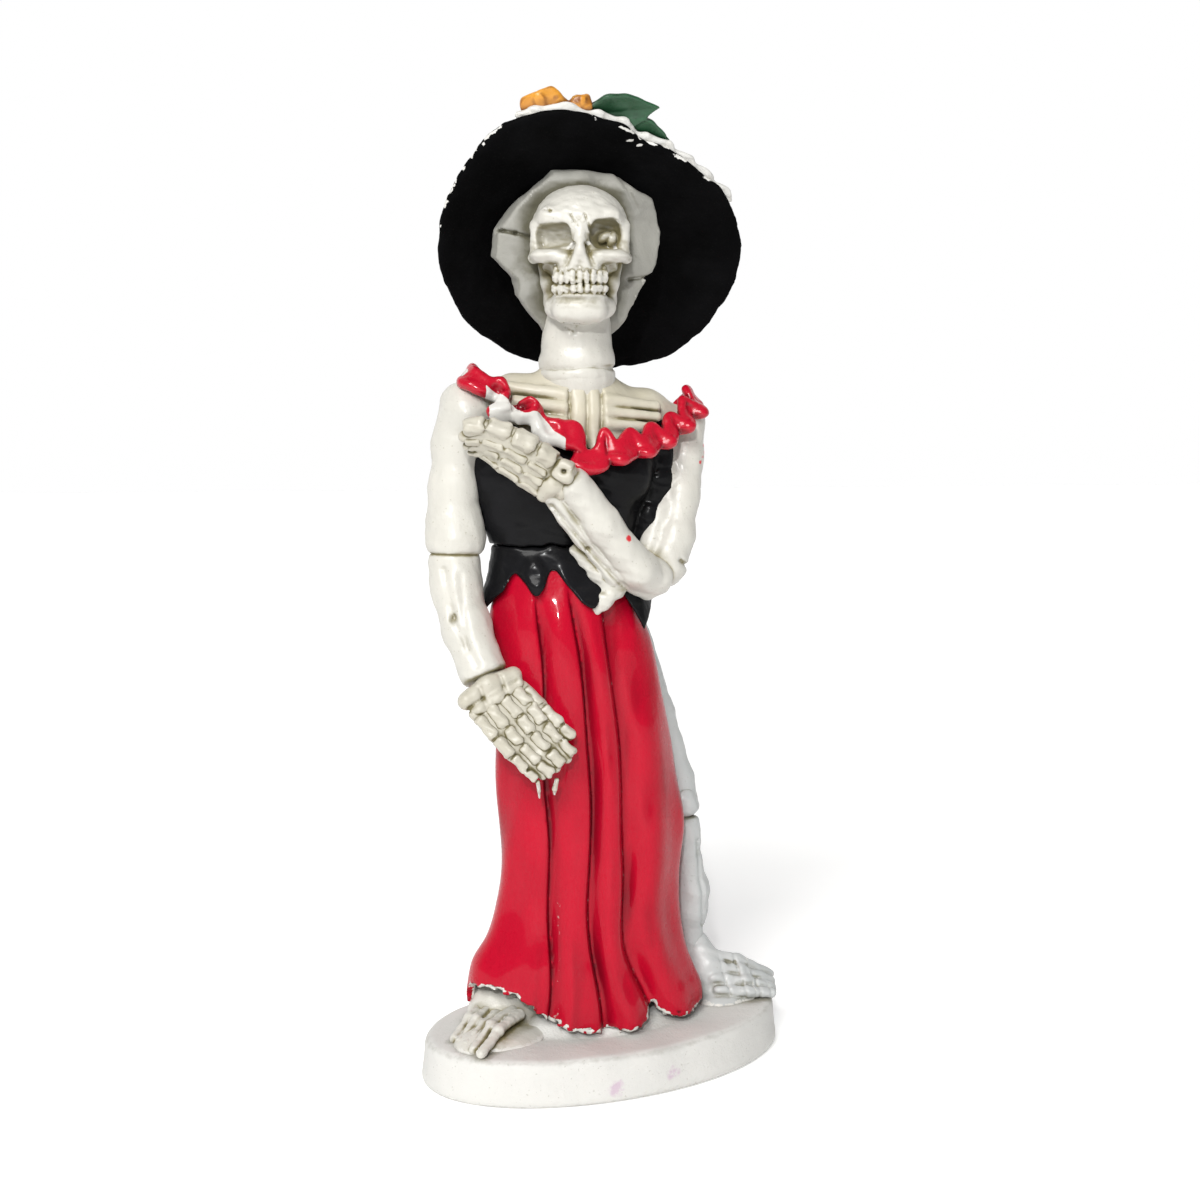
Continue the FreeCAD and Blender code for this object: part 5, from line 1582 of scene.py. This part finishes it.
def camera():
    turn, pitch = math.radians(-14.0), math.radians(5.8)
    data = bpy.data.cameras.new("camera")
    data.lens = 47.28
    data.sensor_width = 36.0
    obj = bpy.data.objects.new("camera", data)
    across = EYE_AWAY * math.sin(turn) - EYE_LEFT
    back = -EYE_AWAY * math.cos(turn) - EYE_FORWARD
    obj.location = (across, back, EYE_HEIGHT)
    obj.rotation_euler = (math.pi / 2 - pitch, 0, turn)
    bpy.context.scene.collection.objects.link(obj)
    bpy.context.scene.camera = obj


def area_light(name, where, size, power):
    data = bpy.data.lights.new(name, "AREA")
    data.shape = "DISK"
    data.size = size
    data.energy = power
    obj = bpy.data.objects.new(name, data)
    obj.location = where
    aim = Vector(FIGURE_MIDDLE) - Vector(where)
    obj.rotation_euler = aim.to_track_quat("-Z", "Y").to_euler()
    bpy.context.scene.collection.objects.link(obj)


def studio():
    """A soft sun from the upper left, a small lamp for glints, and a white backdrop behind the figure."""
    data = bpy.data.lights.new("key", "SUN")
    data.energy = KEY_STRENGTH
    data.angle = math.radians(24)
    data.color = (1.0, 0.99, 0.97)
    obj = bpy.data.objects.new("key", data)
    obj.rotation_euler = Vector(KEY_FROM).to_track_quat("Z", "Y").to_euler()
    bpy.context.scene.collection.objects.link(obj)
    area_light("glint", GLINT_FROM, GLINT_SIZE, GLINT_POWER)
    world = bpy.data.worlds.new("studio")
    world.use_nodes = True
    tree = world.node_tree
    ways = tree.nodes.new("ShaderNodeTexCoord")
    split = tree.nodes.new("ShaderNodeSeparateXYZ")
    tree.links.new(ways.outputs["Generated"], split.inputs[0])
    behind = tree.nodes.new("ShaderNodeMapRange")
    for key, value in zip(("From Min", "From Max", "To Min", "To Max"), (0.1, 0.76, 0.2, 1.0)):
        behind.inputs[key].default_value = value
    tree.links.new(split.outputs["Y"], behind.inputs["Value"])
    tree.links.new(behind.outputs[0], tree.nodes["Background"].inputs["Strength"])
    tree.nodes["Background"].inputs["Color"].default_value = (1, 1, 1, 1)
    bpy.context.scene.world = world
    bpy.context.scene.view_settings.view_transform = "Standard"


def floor():
    mesh = bpy.data.meshes.new("floor")
    wide = 6.0
    corners = [(-wide, -wide, 0), (wide, -wide, 0), (wide, wide, 0), (-wide, wide, 0)]
    mesh.from_pydata(corners, [], [(0, 1, 2, 3)])
    obj = bpy.data.objects.new("floor", mesh)
    bpy.context.scene.collection.objects.link(obj)
    n = Nodes("floor")
    n.link(n.blend(n.noise(300.0), (0.95, 0.95, 0.945), (0.93, 0.93, 0.925)), n.shader.inputs["Base Color"])
    n.shader.inputs["Roughness"].default_value = 0.8
    n.shader.inputs["Emission Color"].default_value = (1, 1, 1, 1)
    n.shader.inputs["Emission Strength"].default_value = FLOOR_GLOW
    mesh.materials.append(n.material)


build_legs()
build_dress()
build_frill()
build_head()
build_hat()
build_arms()
dress_hidden_nodes()
camera()
studio()
floor()
